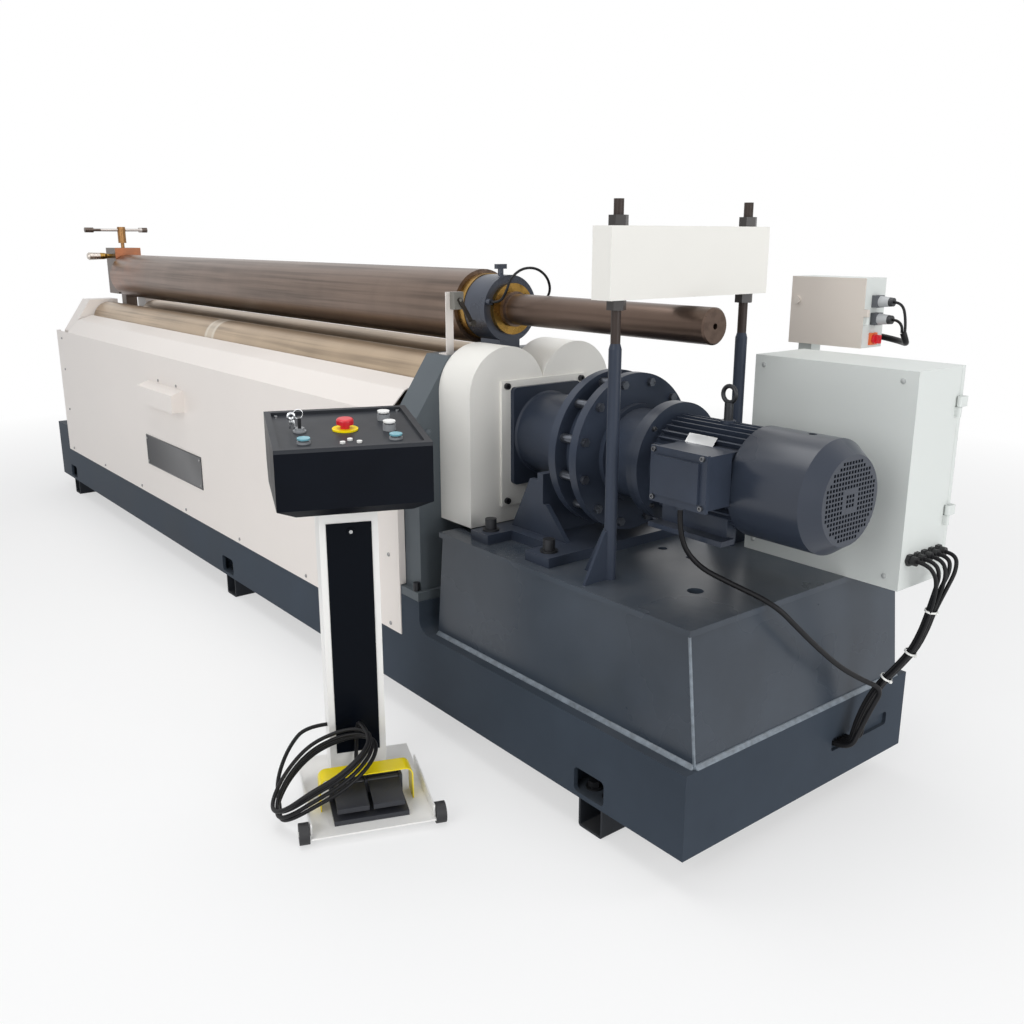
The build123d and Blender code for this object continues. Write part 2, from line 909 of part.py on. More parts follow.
lower_profile = [
    (left_stand_left, 0),
    (left_stand_left, lower_journal),
    (lower_barrel_left, lower_journal),
    (lower_barrel_left, lower_radius),
    (barrel_right, lower_radius),
    (barrel_right, lower_journal),
    (gear_left, lower_journal),
    (gear_left, gear_seat),
    (gear_left + gear_width + 15, gear_seat),
    (gear_left + gear_width + 15, 0),
]
to_front_gear = math.degrees(math.atan2(lower_roll_z - drive_z, -roll_spread))
pinion_pitch_angle = 360 / pinion_teeth
teeth_to_line = round((to_front_gear - 90) / pinion_pitch_angle)
pinion_offset = (90 + teeth_to_line * pinion_pitch_angle - to_front_gear) / pinion_pitch_angle
front_gap = to_front_gear + 180 - pinion_offset * 360 / gear_teeth
front_phase = front_gap + 180 / gear_teeth

with BuildPart() as front_lower_roll:
    turned(lower_profile, -roll_spread, lower_roll_z)
    add_gear(gear_teeth, front_phase, -roll_spread, lower_roll_z)

with BuildPart() as rear_lower_roll:
    turned(lower_profile, roll_spread, lower_roll_z)
    add_gear(gear_teeth, 180 - front_phase, roll_spread, lower_roll_z)

with BuildPart() as drive_pinion:
    along_x(gear_left - 5, pinion_shaft_end, 0, drive_z, pinion_shaft)
    add_gear(pinion_teeth, 90, 0, drive_z)

with BuildPart() as gear_cover:
    for radius, left, right, lowest, mode in (
        (gear_cover_radius, right_stand_right, gear_cover_right, gear_cover_bottom, Mode.ADD),
        (
            gear_cover_radius - sheet,
            right_stand_right - 1,
            gear_cover_right - sheet,
            gear_cover_bottom - 1,
            Mode.SUBTRACT,
        ),
    ):
        with BuildSketch(facing_x(left)) as lobes:
            with Locations((-roll_spread, lower_roll_z), (roll_spread, lower_roll_z)):
                Circle(radius)
            with Locations((0, (lowest + lower_roll_z) / 2)):
                Rectangle(2 * (roll_spread + radius), lower_roll_z - lowest)
        extrude(lobes.sketch, amount=right - left, mode=mode)
    block(
        (gear_cover_right, flange_left),
        (-cover_pad_half, cover_pad_half),
        (drive_z - cover_pad_drop, drive_z + cover_pad_top),
    )
    along_x(gear_cover_right - sheet - 1, flange_left + 1, 0, drive_z, gear_cover_hole, mode=Mode.SUBTRACT)

# Reducer
with BuildPart() as reducer_housing:
    with BuildSketch(facing_x(flange_left, 0, drive_z)) as flange:
        RectangleRounded(2 * flange_half_width, 2 * flange_half_height, flange_corner)
    extrude(flange.sketch, amount=flange_thickness)
    turned(
        [
            (nose_left, 0),
            (nose_left, nose_radius + nose_lip),
            (nose_left + nose_lip, nose_radius),
            (disc_left, nose_radius),
            (disc_left, disc_radius),
            (ring_left, disc_radius),
            (ring_left, ring_radius),
            (end_disc_left, ring_radius),
            (end_disc_left, 0),
        ],
        0,
        drive_z,
    )
    along_x(flange_left - 1, pinion_shaft_end + 4, 0, drive_z, pinion_shaft + running_gap, mode=Mode.SUBTRACT)

bolt_angles = [360 * k / bolt_count + 15 for k in range(bolt_count)]
bolt_places = [
    (bolt_circle * math.cos(math.radians(a)), drive_z + bolt_circle * math.sin(math.radians(a))) for a in bolt_angles
]

with BuildPart() as reducer_end_disc:
    turned(
        [
            (end_disc_left, 0),
            (end_disc_left, disc_radius),
            (end_disc_right, disc_radius),
            (end_disc_right, drum_lip_radius),
            (end_disc_right + drum_lip_length, drum_lip_radius),
            (end_disc_right + drum_lip_length, drum_radius),
            (adaptor_flange_left, drum_radius),
            (adaptor_flange_left, motor_flange_radius),
            (motor_flange_left, motor_flange_radius),
            (motor_flange_left, 0),
        ],
        0,
        drive_z,
    )
    with BuildSketch(facing_x(end_disc_left)) as holes:
        with Locations(*bolt_places):
            Circle(bolt_radius)
    extrude(holes.sketch, amount=disc_thickness, mode=Mode.SUBTRACT)

with BuildPart() as reducer_bolts:
    for y, z in bolt_places:
        along_x(ring_left, end_disc_left, y, z, spacer_radius)
        along_x(end_disc_left, end_disc_right, y, z, bolt_radius)
        hexagon(facing_x(end_disc_right, y, z), bolt_head_flats, bolt_head_height)
        hexagon(Plane(origin=(disc_left, y, z), x_dir=(0, 1, 0), z_dir=(-1, 0, 0)), bolt_head_flats, bolt_head_height)

with BuildPart() as reducer_foot:
    block((foot_left, foot_right), (-foot_half_width, foot_half_width), (riser_top, riser_top + foot_thickness))
    for notch in (
        (-foot_half_width - 1, -foot_half_width + foot_notch_depth),
        (foot_half_width - foot_notch_depth, foot_half_width + 1),
    ):
        block(
            (foot_notch_left, foot_notch_right),
            notch,
            (riser_top - 1, riser_top + foot_thickness + 1),
            mode=Mode.SUBTRACT,
        )
    foot_top = riser_top + foot_thickness
    saddle_right = saddle_left + saddle_thickness
    block((saddle_left, saddle_right), (-saddle_half_width, saddle_half_width), (foot_top, drive_z - saddle_top_drop))
    for y in (-saddle_half_width, saddle_half_width - gusset_thickness):
        profile_along_y(
            [
                (saddle_left - gusset_reach, foot_top),
                (saddle_left, foot_top),
                (saddle_left, drive_z - saddle_top_drop - 20),
                (saddle_left - 30, drive_z - saddle_top_drop - 20),
            ],
            y,
            y + gusset_thickness,
        )
        profile_along_y(
            [
                (saddle_right, foot_top),
                (saddle_right + gusset_small_reach, foot_top),
                (saddle_right + 12, drive_z - saddle_top_drop - 78),
                (saddle_right, drive_z - saddle_top_drop - 78),
            ],
            y,
            y + gusset_thickness,
        )
    along_x(saddle_left - gusset_reach - 1, saddle_right + 1, 0, drive_z, nose_radius, mode=Mode.SUBTRACT)

# Motor
with BuildPart() as motor_body:
    turned(
        [
            (motor_flange_left, 0),
            (motor_flange_left, motor_flange_radius),
            (frame_left, motor_flange_radius),
            (frame_left, frame_radius),
            (frame_right, frame_radius),
            (frame_right, 0),
        ],
        0,
        drive_z,
    )
    for fin in range(fin_count):
        fin_angle = 360 * (fin + 0.5) / fin_count
        if abs(fin_angle - 180) > 26:
            with BuildSketch(facing_x(frame_left + 12, 0, drive_z)) as fin_face:
                with Locations(Location((0, 0, 0), fin_angle)):
                    with Locations(((frame_radius + fin_tip_radius) / 2 - 1, 0)):
                        Rectangle(fin_tip_radius - frame_radius + 2, fin_thickness)
            extrude(fin_face.sketch, amount=frame_right - frame_left - 16)
    box_right = box_left + box_length
    block((box_left - 22, cowl_left - 5), (box_inner_y + box_pad_depth - 4, -60), (box_bottom - 4, box_bottom + 110))
    foot_z = drive_z - motor_foot_drop
    for y in (-motor_foot_half, motor_foot_half):
        block((frame_left + 18, frame_right - 26), (y - 22, y + 22), (foot_z, foot_z + motor_foot_thickness))
        inner_y = y - math.copysign(12, y)
        block(
            (frame_left + 30, frame_right - 40),
            sorted((inner_y, inner_y - math.copysign(30, y))),
            (foot_z, drive_z - 60),
        )
    upright(eye_x, 0, drive_z + frame_radius - 6, drive_z + fin_tip_radius + 4, 17)
    along_x(frame_right - 60, frame_right + 1, 0, drive_z, fan_shaft + running_gap, mode=Mode.SUBTRACT)

with BuildPart() as terminal_box:
    box_top = box_bottom + box_height
    lid_inner_y = box_face_y + box_lid_depth + box_panel_depth
    block((box_left, box_right), (lid_inner_y, box_inner_y), (box_bottom, box_top))
    block((box_left + 14, box_right - 22), (box_inner_y, box_inner_y + box_pad_depth - 4), (box_bottom + 8, box_top - 8))
    block(
        (box_left - 4, box_right + 4),
        (lid_inner_y - box_lid_depth, lid_inner_y),
        (box_bottom - 4, box_top + 4),
    )
    block((box_left + 14, box_right - 14), (box_face_y, lid_inner_y - box_lid_depth), (box_bottom + 14, box_top - 14))
    upright(box_left + 46, (lid_inner_y + box_inner_y) / 2, box_bottom - box_gland_length, box_bottom, box_gland_radius)

with BuildPart() as fan_cowl:
    cowl_inner = cowl_radius - cowl_wall
    turned(
        [
            (cowl_left, fin_tip_radius + cowl_fin_gap),
            (cowl_left, cowl_radius),
            (cowl_chamfer_left, cowl_radius),
            (cowl_right, cowl_face_radius),
            (cowl_right, 0),
            (cowl_right - cowl_wall, 0),
            (cowl_right - cowl_wall, cowl_face_radius - 1),
            (cowl_chamfer_left - 1, cowl_inner),
            (frame_right + 6, cowl_inner),
            (frame_right + 6, fin_tip_radius + cowl_fin_gap),
        ],
        0,
        drive_z,
    )
    steps = int(grille_reach / grille_pitch)
    grille_places = []
    for row in range(-steps, steps + 1):
        for column in range(-steps, steps + 1):
            across, up = column * grille_pitch, row * grille_pitch
            on_border = max(abs(row), abs(column)) == grille_border
            if math.hypot(across, up) < grille_reach and not on_border:
                grille_places.append((across, drive_z + up))
    with BuildSketch(facing_x(cowl_right)) as grille:
        with Locations(*grille_places):
            Rectangle(grille_hole, grille_hole)
    extrude(grille.sketch, amount=-cowl_wall, mode=Mode.SUBTRACT)
    upright(
        (frame_right + cowl_chamfer_left) / 2 + 20,
        0,
        drive_z + cowl_radius - 30,
        drive_z + cowl_radius + 1,
        cowl_port_radius,
        mode=Mode.SUBTRACT,
    )

with BuildPart() as cooling_fan:
    along_x(frame_right - 50, fan_left + fan_width, 0, drive_z, fan_shaft)
    along_x(fan_left, fan_left + fan_width, 0, drive_z, fan_hub_radius)
    with BuildSketch(facing_x(fan_left, 0, drive_z)) as blades:
        with PolarLocations((fan_hub_radius + fan_radius) / 2 - 2, fan_blades):
            Rectangle(fan_radius - fan_hub_radius + 4, fan_blade_thickness)
    extrude(blades.sketch, amount=fan_width)

# Tie posts and balance beam
with BuildPart() as tie_posts:
    for y in (-post_y, post_y):
        outward = math.copysign(1, y)
        upright(post_x, y, riser_top, sleeve_top - sleeve_taper, sleeve_radius)
        with Locations((post_x, y, sleeve_top - sleeve_taper / 2)):
            Cone(sleeve_radius, stud_radius, sleeve_taper)
        upright(post_x, y, sleeve_top, stud_top, stud_radius)
        profile_along_y(
            [
                (post_x, riser_top),
                (post_x, riser_top + post_gusset_height),
                (post_x - sleeve_radius - 4, riser_top + post_gusset_height),
                (post_x - sleeve_radius - post_gusset_reach, riser_top),
            ],
            y - post_gusset_thickness / 2,
            y + post_gusset_thickness / 2,
        )
        profile_along_x(
            [
                (y, riser_top),
                (y, riser_top + post_gusset_height),
                (y + outward * (sleeve_radius + 4), riser_top + post_gusset_height),
                (y + outward * (sleeve_radius + post_gusset_reach), riser_top),
            ],
            post_x - post_gusset_thickness / 2,
            post_x + post_gusset_thickness / 2,
        )

with BuildPart() as balance_beam:
    block(
        (post_x - beam_thickness / 2, post_x + beam_thickness / 2),
        (-beam_half_length, beam_half_length),
        (beam_bottom, beam_bottom + beam_height),
    )
    for y in (-post_y, post_y):
        hexagon(Plane(origin=(post_x, y, beam_bottom - beam_nut_height)), beam_nut_flats, beam_nut_height)
        hexagon(Plane(origin=(post_x, y, beam_bottom + beam_height)), beam_nut_flats, beam_nut_height)
        upright(
            post_x,
            y,
            beam_bottom - beam_nut_height - 1,
            beam_bottom + beam_height + beam_nut_height + 1,
            stud_radius + stud_gap,
            mode=Mode.SUBTRACT,
        )

# Top roll and its right bearing
with BuildPart() as top_roll:
    cone_end = top_barrel_left - cone_length
    turned(
        [
            (cone_end, 0),
            (cone_end, cone_small),
            (top_barrel_left, cone_large),
            (top_barrel_left, top_radius),
            (barrel_right, top_radius),
            (barrel_right, spigot_radius + spigot_gap),
            (barrel_right - spigot_length - spigot_gap, spigot_radius + spigot_gap),
            (barrel_right - spigot_length - spigot_gap, 0),
        ],
        0,
        top_roll_z,
    )
    turned(
        [
            (barrel_right - spigot_length, 0),
            (barrel_right - spigot_length, spigot_radius),
            (barrel_right + spigot_gap, spigot_radius),
            (barrel_right + spigot_gap, top_journal),
            (housing_right + bush_flange + 12, top_journal),
            (housing_right + bush_flange + 12, tail_radius),
            (tail_end - 4, tail_radius),
            (tail_end, tail_radius - 4),
            (tail_end, 7),
            (tail_end - 24, 7),
            (tail_end - 24, 0),
        ],
        0,
        top_roll_z,
    )

with BuildPart() as top_bearing_housing:
    along_x(housing_left, housing_right, 0, top_roll_z, housing_radius)
    block(
        (right_stand_left + 12, right_stand_right - 4),
        (-neck_half, neck_half),
        (neck_bottom, top_roll_z),
    )
    along_x(housing_left - 1, housing_right + 1, 0, top_roll_z, housing_bore, mode=Mode.SUBTRACT)
    tee_bottom = top_roll_z + housing_radius - 3
    upright(tee_x, 0, tee_bottom, tee_bottom + tee_stem_height, tee_stem_radius)
    with Locations((tee_x, 0, tee_bottom + tee_stem_height + tee_head_size / 2)):
        Box(tee_head_size, tee_head_length, tee_head_size)
    right_stand_middle = (right_stand_left + right_stand_right) / 2
    upright(right_stand_middle, 0, neck_bottom - screw_length, neck_bottom, screw_radius)
    for y in (-fitting_y, fitting_y):
        along_x(housing_right, housing_right + fitting_length, y, top_roll_z + fitting_rise, fitting_radius)

with BuildPart() as top_bearing_bush:
    turned(
        [
            (housing_left, top_journal + running_gap),
            (barrel_right + thrust_gap, top_journal + running_gap),
            (barrel_right + thrust_gap, thrust_radius),
            (housing_left, thrust_radius),
        ],
        0,
        top_roll_z,
    )
    turned(
        [
            (housing_left, top_journal + running_gap),
            (housing_left, housing_bore),
            (housing_right, housing_bore),
            (housing_right, bush_flange_radius),
            (housing_right + bush_flange, bush_flange_radius),
            (housing_right + bush_flange, top_journal + running_gap),
        ],
        0,
        top_roll_z,
    )

# Left lift and drop arm
with BuildPart() as left_lift_block:
    guide_half = slot_half - guide_gap
    block((pin_x - ear_radius, pin_x + ear_radius), (-guide_half, guide_half), (lift_block_bottom, lift_block_top))
    block(
        (left_stand_left + 20, pin_x + ear_radius),
        (-guide_half, guide_half),
        (lift_block_bottom, lift_block_bottom + 30),
    )
    for ear in ((-guide_half, -ear_inner), (ear_inner, guide_half)):
        block((pin_x - ear_radius, pin_x + ear_radius), ear, (lift_block_top, pin_z))
        along_y(*ear, pin_x, pin_z, ear_radius)
    along_y(-guide_half, guide_half, pin_x, pin_z, pin_radius)
    left_stand_middle = (left_stand_left + left_stand_right) / 2
    upright(left_stand_middle, 0, lift_block_bottom - screw_length, lift_block_bottom, screw_radius)

arm_middle = (arm_left + arm_right) / 2
cone_slope = (cone_large - cone_small) / cone_length


def cone_radius_at(x):
    """Radius of the top roll's conical journal at an X."""
    return cone_large - cone_slope * (top_barrel_left - x)


with BuildPart() as drop_arm:
    block((arm_left, arm_right), (-arm_half, arm_half), (arm_head_bottom, arm_top))
    block(
        (pin_x - arm_neck_radius, pin_x + arm_neck_radius),
        (-arm_neck_half, arm_neck_half),
        (pin_z, arm_head_bottom),
    )
    along_y(-arm_neck_half, arm_neck_half, pin_x, pin_z, arm_neck_radius)
    along_y(-arm_neck_half - 1, arm_neck_half + 1, pin_x, pin_z, pin_radius + running_gap, mode=Mode.SUBTRACT)
    bore_end = cone_end - 6
    bush_radius = cone_large + arm_bush_wall
    along_x(arm_left - 1, arm_right + 1, 0, top_roll_z, bush_radius, mode=Mode.SUBTRACT)
    upright(arm_middle, 0, arm_top - clamp_hole_depth, arm_top + 1, clamp_stem_radius + running_gap, mode=Mode.SUBTRACT)
    along_y(-arm_half - 1, -arm_half + lock_depth, arm_middle, lock_z, lock_radius + running_gap, mode=Mode.SUBTRACT)

with BuildPart() as drop_arm_bush:
    turned(
        [
            (arm_right, cone_radius_at(arm_right) + loose_gap),
            (arm_right, bush_radius),
            (arm_left, bush_radius),
            (arm_left, 0),
            (arm_left + 20, 0),
            (arm_left + 20, cone_radius_at(bore_end) + loose_gap),
            (bore_end, cone_radius_at(bore_end) + loose_gap),
        ],
        0,
        top_roll_z,
    )

with BuildPart() as clamp_screw:
    upright(arm_middle, 0, arm_top - clamp_hole_depth + 2, clamp_boss_bottom, clamp_stem_radius)
    upright(arm_middle, 0, clamp_boss_bottom, clamp_boss_top, clamp_boss_radius)
    along_y(tee_bar_front, tee_bar_rear, arm_middle, tee_bar_z, tee_bar_radius)
    along_y(tee_bar_front, tee_bar_front + tee_grip_length, arm_middle, tee_bar_z, tee_grip_radius)
    along_y(tee_bar_rear - tee_grip_length, tee_bar_rear, arm_middle, tee_bar_z, tee_grip_radius)

with BuildPart() as locking_pin:
    lock_face = -arm_half
    along_y(lock_face - lock_shank_length, lock_face + lock_depth - 3, arm_middle, lock_z, lock_radius)
    with BuildSketch(Plane(origin=(arm_middle, 0, lock_z), x_dir=(0, -1, 0), z_dir=(1, 0, 0))) as grip:
        grip_start = arm_half + lock_shank_length
        Polygon(
            (grip_start, 0),
            (grip_start, -lock_grip_radius + 6),
            (grip_start + 12, -lock_grip_radius + 3),
            (grip_start + lock_grip_length - 8, -lock_grip_radius),
            (grip_start + lock_grip_length, -lock_grip_radius + 6),
            (grip_start + lock_grip_length, 0),
            align=None,
        )
    revolve(grip.sketch, axis=Axis((arm_middle, 0, lock_z), (0, -1, 0)))

# Lift drive inside the covers
with BuildPart() as lift_drive:
    left_box = (left_stand_right, left_stand_right + worm_box_length)
    right_box = (right_stand_left - worm_box_length, right_stand_left)
    for box in (left_box, right_box):
        block(box, (-worm_box_half, worm_box_half), (worm_box_bottom, worm_box_top))
    along_x(left_box[1], right_box[0], 0, cross_tube_z, cross_tube_radius)
    block((lift_case_left, lift_case_right), (-worm_box_half, lift_case_rear), (roll_bed_top, worm_box_top))
    along_x(lift_case_right, lift_case_right + lift_motor_length, lift_motor_y, lift_motor_z, lift_motor_radius)

# Limit switch on the right stand
with BuildPart() as limit_bracket:
    limit_sides = (limit_y - limit_width / 2, limit_y + limit_width / 2)
    limit_top = stand_top_z + limit_height
    block((limit_x - limit_foot, limit_x + sheet), limit_sides, (stand_top_z, stand_top_z + sheet))
    block((limit_x, limit_x + sheet), limit_sides, (stand_top_z, limit_top))
    block(
        (limit_x + sheet, limit_x + sheet + limit_body_depth),
        (lever_pivot_y - limit_body_width / 2, lever_pivot_y + limit_body_width / 2),
        (limit_top - limit_body_height, limit_top),
    )
    lever_plane_x = limit_x + sheet + limit_body_depth
    along_x(lever_plane_x, lever_plane_x + lever_thickness + 3, lever_pivot_y, lever_pivot_z, lever_pin_radius)

with BuildPart() as limit_lever:
    lever_left = lever_plane_x + 0.5
    with BuildSketch(facing_x(lever_left, lever_pivot_y, lever_pivot_z)) as lever_face:
        with Locations(Location((0, 0, 0), lever_angle)):
            with Locations((lever_length / 2, 0)):
                SlotCenterToCenter(lever_length, lever_width)
        Circle(lever_pin_radius + running_gap, mode=Mode.SUBTRACT)
    extrude(lever_face.sketch, amount=lever_thickness)
    roller_y = lever_pivot_y + lever_length * math.cos(math.radians(lever_angle))
    roller_z = lever_pivot_z + lever_length * math.sin(math.radians(lever_angle))
    along_x(lever_left, lever_left + lever_thickness + 6, roller_y, roller_z, roller_radius)

# Enclosure on the riser
with BuildPart() as enclosure_body:
    body_rear = enclosure_rear - door_depth - door_gap
    block((enclosure_left, enclosure_right), (enclosure_front, body_rear), (riser_top, enclosure_top))
    block(
        (enclosure_left + enclosure_wall, enclosure_right - enclosure_wall),
        (enclosure_front + enclosure_wall, body_rear + 1),
        (riser_top + enclosure_wall, enclosure_top - enclosure_wall),
        mode=Mode.SUBTRACT,
    )
    plate_y = enclosure_front + enclosure_wall + plate_gap
    plate_x = (enclosure_left + plate_margin, enclosure_right - plate_margin)
    plate_z = (riser_top + plate_margin, enclosure_top - plate_margin)
    block(plate_x, (plate_y, plate_y + plate_thickness), plate_z)
    for x in (plate_x[0] + 14, plate_x[1] - 14):
        for z in (plate_z[0] + 14, plate_z[1] - 14):
            along_y(enclosure_front + enclosure_wall / 2, plate_y, x, z, 6)
    hinge_x = enclosure_right + door_hinge_radius + 1
    hinge_y = body_rear - door_hinge_radius - 2
    hinge_levels = (riser_top + 150, enclosure_top - 90)
    for z in hinge_levels:
        block(
            (enclosure_right, hinge_x),
            (hinge_y - door_hinge_radius, hinge_y + door_hinge_radius),
            (z - door_hinge_length / 2, z - 1),
        )
        upright(hinge_x, hinge_y, z - door_hinge_length / 2, z - 1, door_hinge_radius)
        upright(hinge_x, hinge_y, z - 1, z + door_hinge_length / 2, door_hinge_radius / 2)

with BuildPart() as enclosure_door:
    door_front = body_rear + door_gap
    block(
        (enclosure_left, enclosure_right),
        (door_front, enclosure_rear),
        (riser_top + door_gap, enclosure_top),
    )
    block(
        (enclosure_left + enclosure_wall, enclosure_right - enclosure_wall),
        (door_front - 1, enclosure_rear - enclosure_wall),
        (riser_top + door_gap + enclosure_wall, enclosure_top - enclosure_wall),
        mode=Mode.SUBTRACT,
    )
    for z in hinge_levels:
        knuckle = (z, z + door_hinge_length / 2)
        block((enclosure_right, hinge_x), (door_front, enclosure_rear), knuckle)
        block((hinge_x - door_hinge_radius, hinge_x + door_hinge_radius), (hinge_y, enclosure_rear), knuckle)
        block((enclosure_right, hinge_x), (hinge_y - 1, door_front), knuckle, mode=Mode.SUBTRACT)
        upright(hinge_x, hinge_y, *knuckle, door_hinge_radius)
        upright(hinge_x, hinge_y, z - 1, knuckle[1] + 1, door_hinge_radius / 2 + running_gap, mode=Mode.SUBTRACT)
    for z in (riser_top + 130, enclosure_top - 130):
        along_y(enclosure_rear, enclosure_rear + 5, enclosure_left + 30, z, 12)

with BuildPart() as cable_glands:
    for k in range(gland_count):
        gland_y = gland_first_y + k * gland_pitch
        hexagon(facing_x(enclosure_right, gland_y, gland_z), gland_nut_flats, 8)
        along_x(enclosure_right + 8, enclosure_right + gland_length, gland_y, gland_z, gland_radius)

# Switch cabinet on its post behind the machine
with BuildPart() as switch_cabinet:
    block((cabinet_left, cabinet_right), (cabinet_front, cabinet_rear), (cabinet_bottom, cabinet_top))
    block(
        (cabinet_left + cabinet_wall, cabinet_right - cabinet_wall),
        (cabinet_front - 1, cabinet_rear - cabinet_wall),
        (cabinet_bottom + cabinet_wall, cabinet_top - cabinet_wall),
        mode=Mode.SUBTRACT,
    )
    half_post = cabinet_post / 2
    block(
        (cabinet_post_x - half_post, cabinet_post_x + half_post),
        (cabinet_post_y - half_post, cabinet_post_y + half_post),
        (cabinet_post_bottom, cabinet_bottom),
    )
    for z in (cabinet_post_bottom + 20, cabinet_post_bottom + 110):
        block(
            (cabinet_post_x - half_post, cabinet_post_x + half_post),
            (bed_rear, cabinet_post_y - half_post),
            (z, z + 30),
        )
    for k in range(2):
        z = connector_z - k * connector_pitch
        middle_y = (cabinet_front + cabinet_rear) / 2
        block(
            (cabinet_right, cabinet_right + connector_depth),
            (middle_y - connector_size / 2, middle_y + connector_size / 2),
            (z - connector_size / 2, z + connector_size / 2),
        )
        plug_left = cabinet_right + connector_depth
        with Locations(Location((plug_left + plug_length / 2, middle_y, z), (0, 90, 0))):
            Cone(connector_size / 2 - 1, plug_radius, plug_length)
    block(
        (cabinet_right, cabinet_right + isolator_plate_depth),
        (middle_y - isolator_plate / 2, middle_y + isolator_plate / 2),
        (isolator_z - isolator_plate / 2, isolator_z + isolator_plate / 2),
    )
    along_x(
        cabinet_right - cabinet_wall - 4,
        cabinet_right + isolator_plate_depth + 1,
        middle_y,
        isolator_z,
        isolator_spindle + running_gap,
        mode=Mode.SUBTRACT,
    )
    cabinet_hinge_x = cabinet_right + cabinet_hinge_radius + 1
    cabinet_hinge_y = cabinet_front + cabinet_hinge_radius + 1
    cabinet_hinge_z = (cabinet_bottom + cabinet_top) / 2 - 8
    block(
        (cabinet_right, cabinet_hinge_x),
        (cabinet_hinge_y - cabinet_hinge_radius, cabinet_hinge_y + cabinet_hinge_radius),
        (cabinet_hinge_z - 20, cabinet_hinge_z - 1),
    )
    upright(cabinet_hinge_x, cabinet_hinge_y, cabinet_hinge_z - 20, cabinet_hinge_z - 1, cabinet_hinge_radius)
    upright(cabinet_hinge_x, cabinet_hinge_y, cabinet_hinge_z - 1, cabinet_hinge_z + 18, cabinet_hinge_radius / 2)

with BuildPart() as switch_cabinet_door:
    door_rear = cabinet_front - door_gap
    door_face = door_rear - cabinet_door_thickness
    block((cabinet_left, cabinet_right), (door_face, door_rear), (cabinet_bottom, cabinet_top))
    block(
        (cabinet_right - 12, cabinet_hinge_x + cabinet_hinge_radius),
        (door_face, door_rear),
        (cabinet_hinge_z, cabinet_hinge_z + 18),
    )
    block(
        (cabinet_right + 1, cabinet_hinge_x + cabinet_hinge_radius),
        (door_rear, cabinet_hinge_y),
        (cabinet_hinge_z, cabinet_hinge_z + 18),
    )
    upright(cabinet_hinge_x, cabinet_hinge_y, cabinet_hinge_z, cabinet_hinge_z + 18, cabinet_hinge_radius)
    upright(
        cabinet_hinge_x,
        cabinet_hinge_y,
        cabinet_hinge_z - 1,
        cabinet_hinge_z + 19,
        cabinet_hinge_radius / 2 + running_gap,
        mode=Mode.SUBTRACT,
    )
    along_y(door_face - 5, door_face, cabinet_left + 20, cabinet_top - 60, 10)

with BuildPart() as isolator_knob:
    knob_left = cabinet_right + isolator_plate_depth + 0.5
    along_x(cabinet_right - cabinet_wall - 2, knob_left, middle_y, isolator_z, isolator_spindle)
    along_x(knob_left, knob_left + isolator_depth * 0.4, middle_y, isolator_z, isolator_radius)
    with Locations((knob_left + isolator_depth * 0.7, middle_y, isolator_z)):
        Box(isolator_depth * 0.6, 9, 2 * isolator_radius - 2)

# Control pedestal, drawn in its own turned plane
with BuildPart(pedestal) as pedestal_frame:
    column_half = column_width / 2
    block((-column_depth, 0), (-column_half, column_half), (base_top, console_bottom))
    block(
        (column_wall - column_depth, -column_wall),
        (column_wall - column_half, column_half - column_wall),
        (base_top + column_wall, console_bottom - column_wall),
        mode=Mode.SUBTRACT,
    )
    block((base_rear, base_front), (-base_half, base_half), (base_plate_z, base_top))
    for y in (-base_half, base_half - base_flange):
        block((base_rear + 120, base_front - 12), (y, y + base_flange), (base_top, base_plate_z + base_flange_height))
    for y in (-base_half + 26, base_half - 26):
        upright(base_rear + 26, y, 0, base_plate_z, rear_foot_radius)
    for side in (-1, 1):
        along_y(
            *sorted((side * base_half, side * (base_half + wheel_gap + wheel_width + 2))),
            wheel_x,
            wheel_radius,
            axle_radius,
        )

with BuildPart(pedestal) as column_panel:
    block((0, panel_thickness), (-panel_width / 2, panel_width / 2), (panel_bottom, panel_top))
    along_x(panel_thickness, panel_thickness + 4, 4, panel_top - 22, panel_lock_radius)

panel_depth = console_front - console_rear
panel_middle_z = (console_front_top + console_rear_top) / 2 - console_recess
panel_origin = pedestal.from_local_coords(Vector((console_front + console_rear) / 2, 0, panel_middle_z))
panel_right = (-math.sin(heading), math.cos(heading), 0)
panel_normal = (
    math.sin(console_slope) * math.cos(heading),
    math.sin(console_slope) * math.sin(heading),
    math.cos(console_slope),
)
panel_plane = Plane(origin=panel_origin, x_dir=panel_right, z_dir=panel_normal)

# Places on the inclined panel: across to the right, then away from the operator
stop_place = (1.0, -4.0)
key_place = (-102.0, -2.0)
blue_left_place = (-102.0, -98.0)
blue_right_place = (102.0, -101.0)
white_rear_place = (102.0, 66.0)
white_front_place = (100.0, -26.0)
lamp_places = ((-19.0, -116.0), (0.0, -94.0), (18.0, -116.0))
button_places = (
    (blue_left_place, button_height),
    (blue_right_place, button_height),
    (white_rear_place, tall_button_height),
    (white_front_place, tall_button_height),
)


def on_panel(place, rise=0.0):
    """Plane that stands on the console's panel at a place and height."""
    shifted = panel_plane.from_local_coords(Vector(place[0], place[1], rise))
    return Plane(origin=shifted, x_dir=panel_right, z_dir=panel_normal)


def on_panel_round(place, radius, bottom, top, mode=Mode.ADD):
    """Add or cut a cylinder that stands square to the console's panel."""
    with BuildSketch(on_panel(place, bottom)) as section:
        Circle(radius)
    extrude(section.sketch, amount=top - bottom, mode=mode)


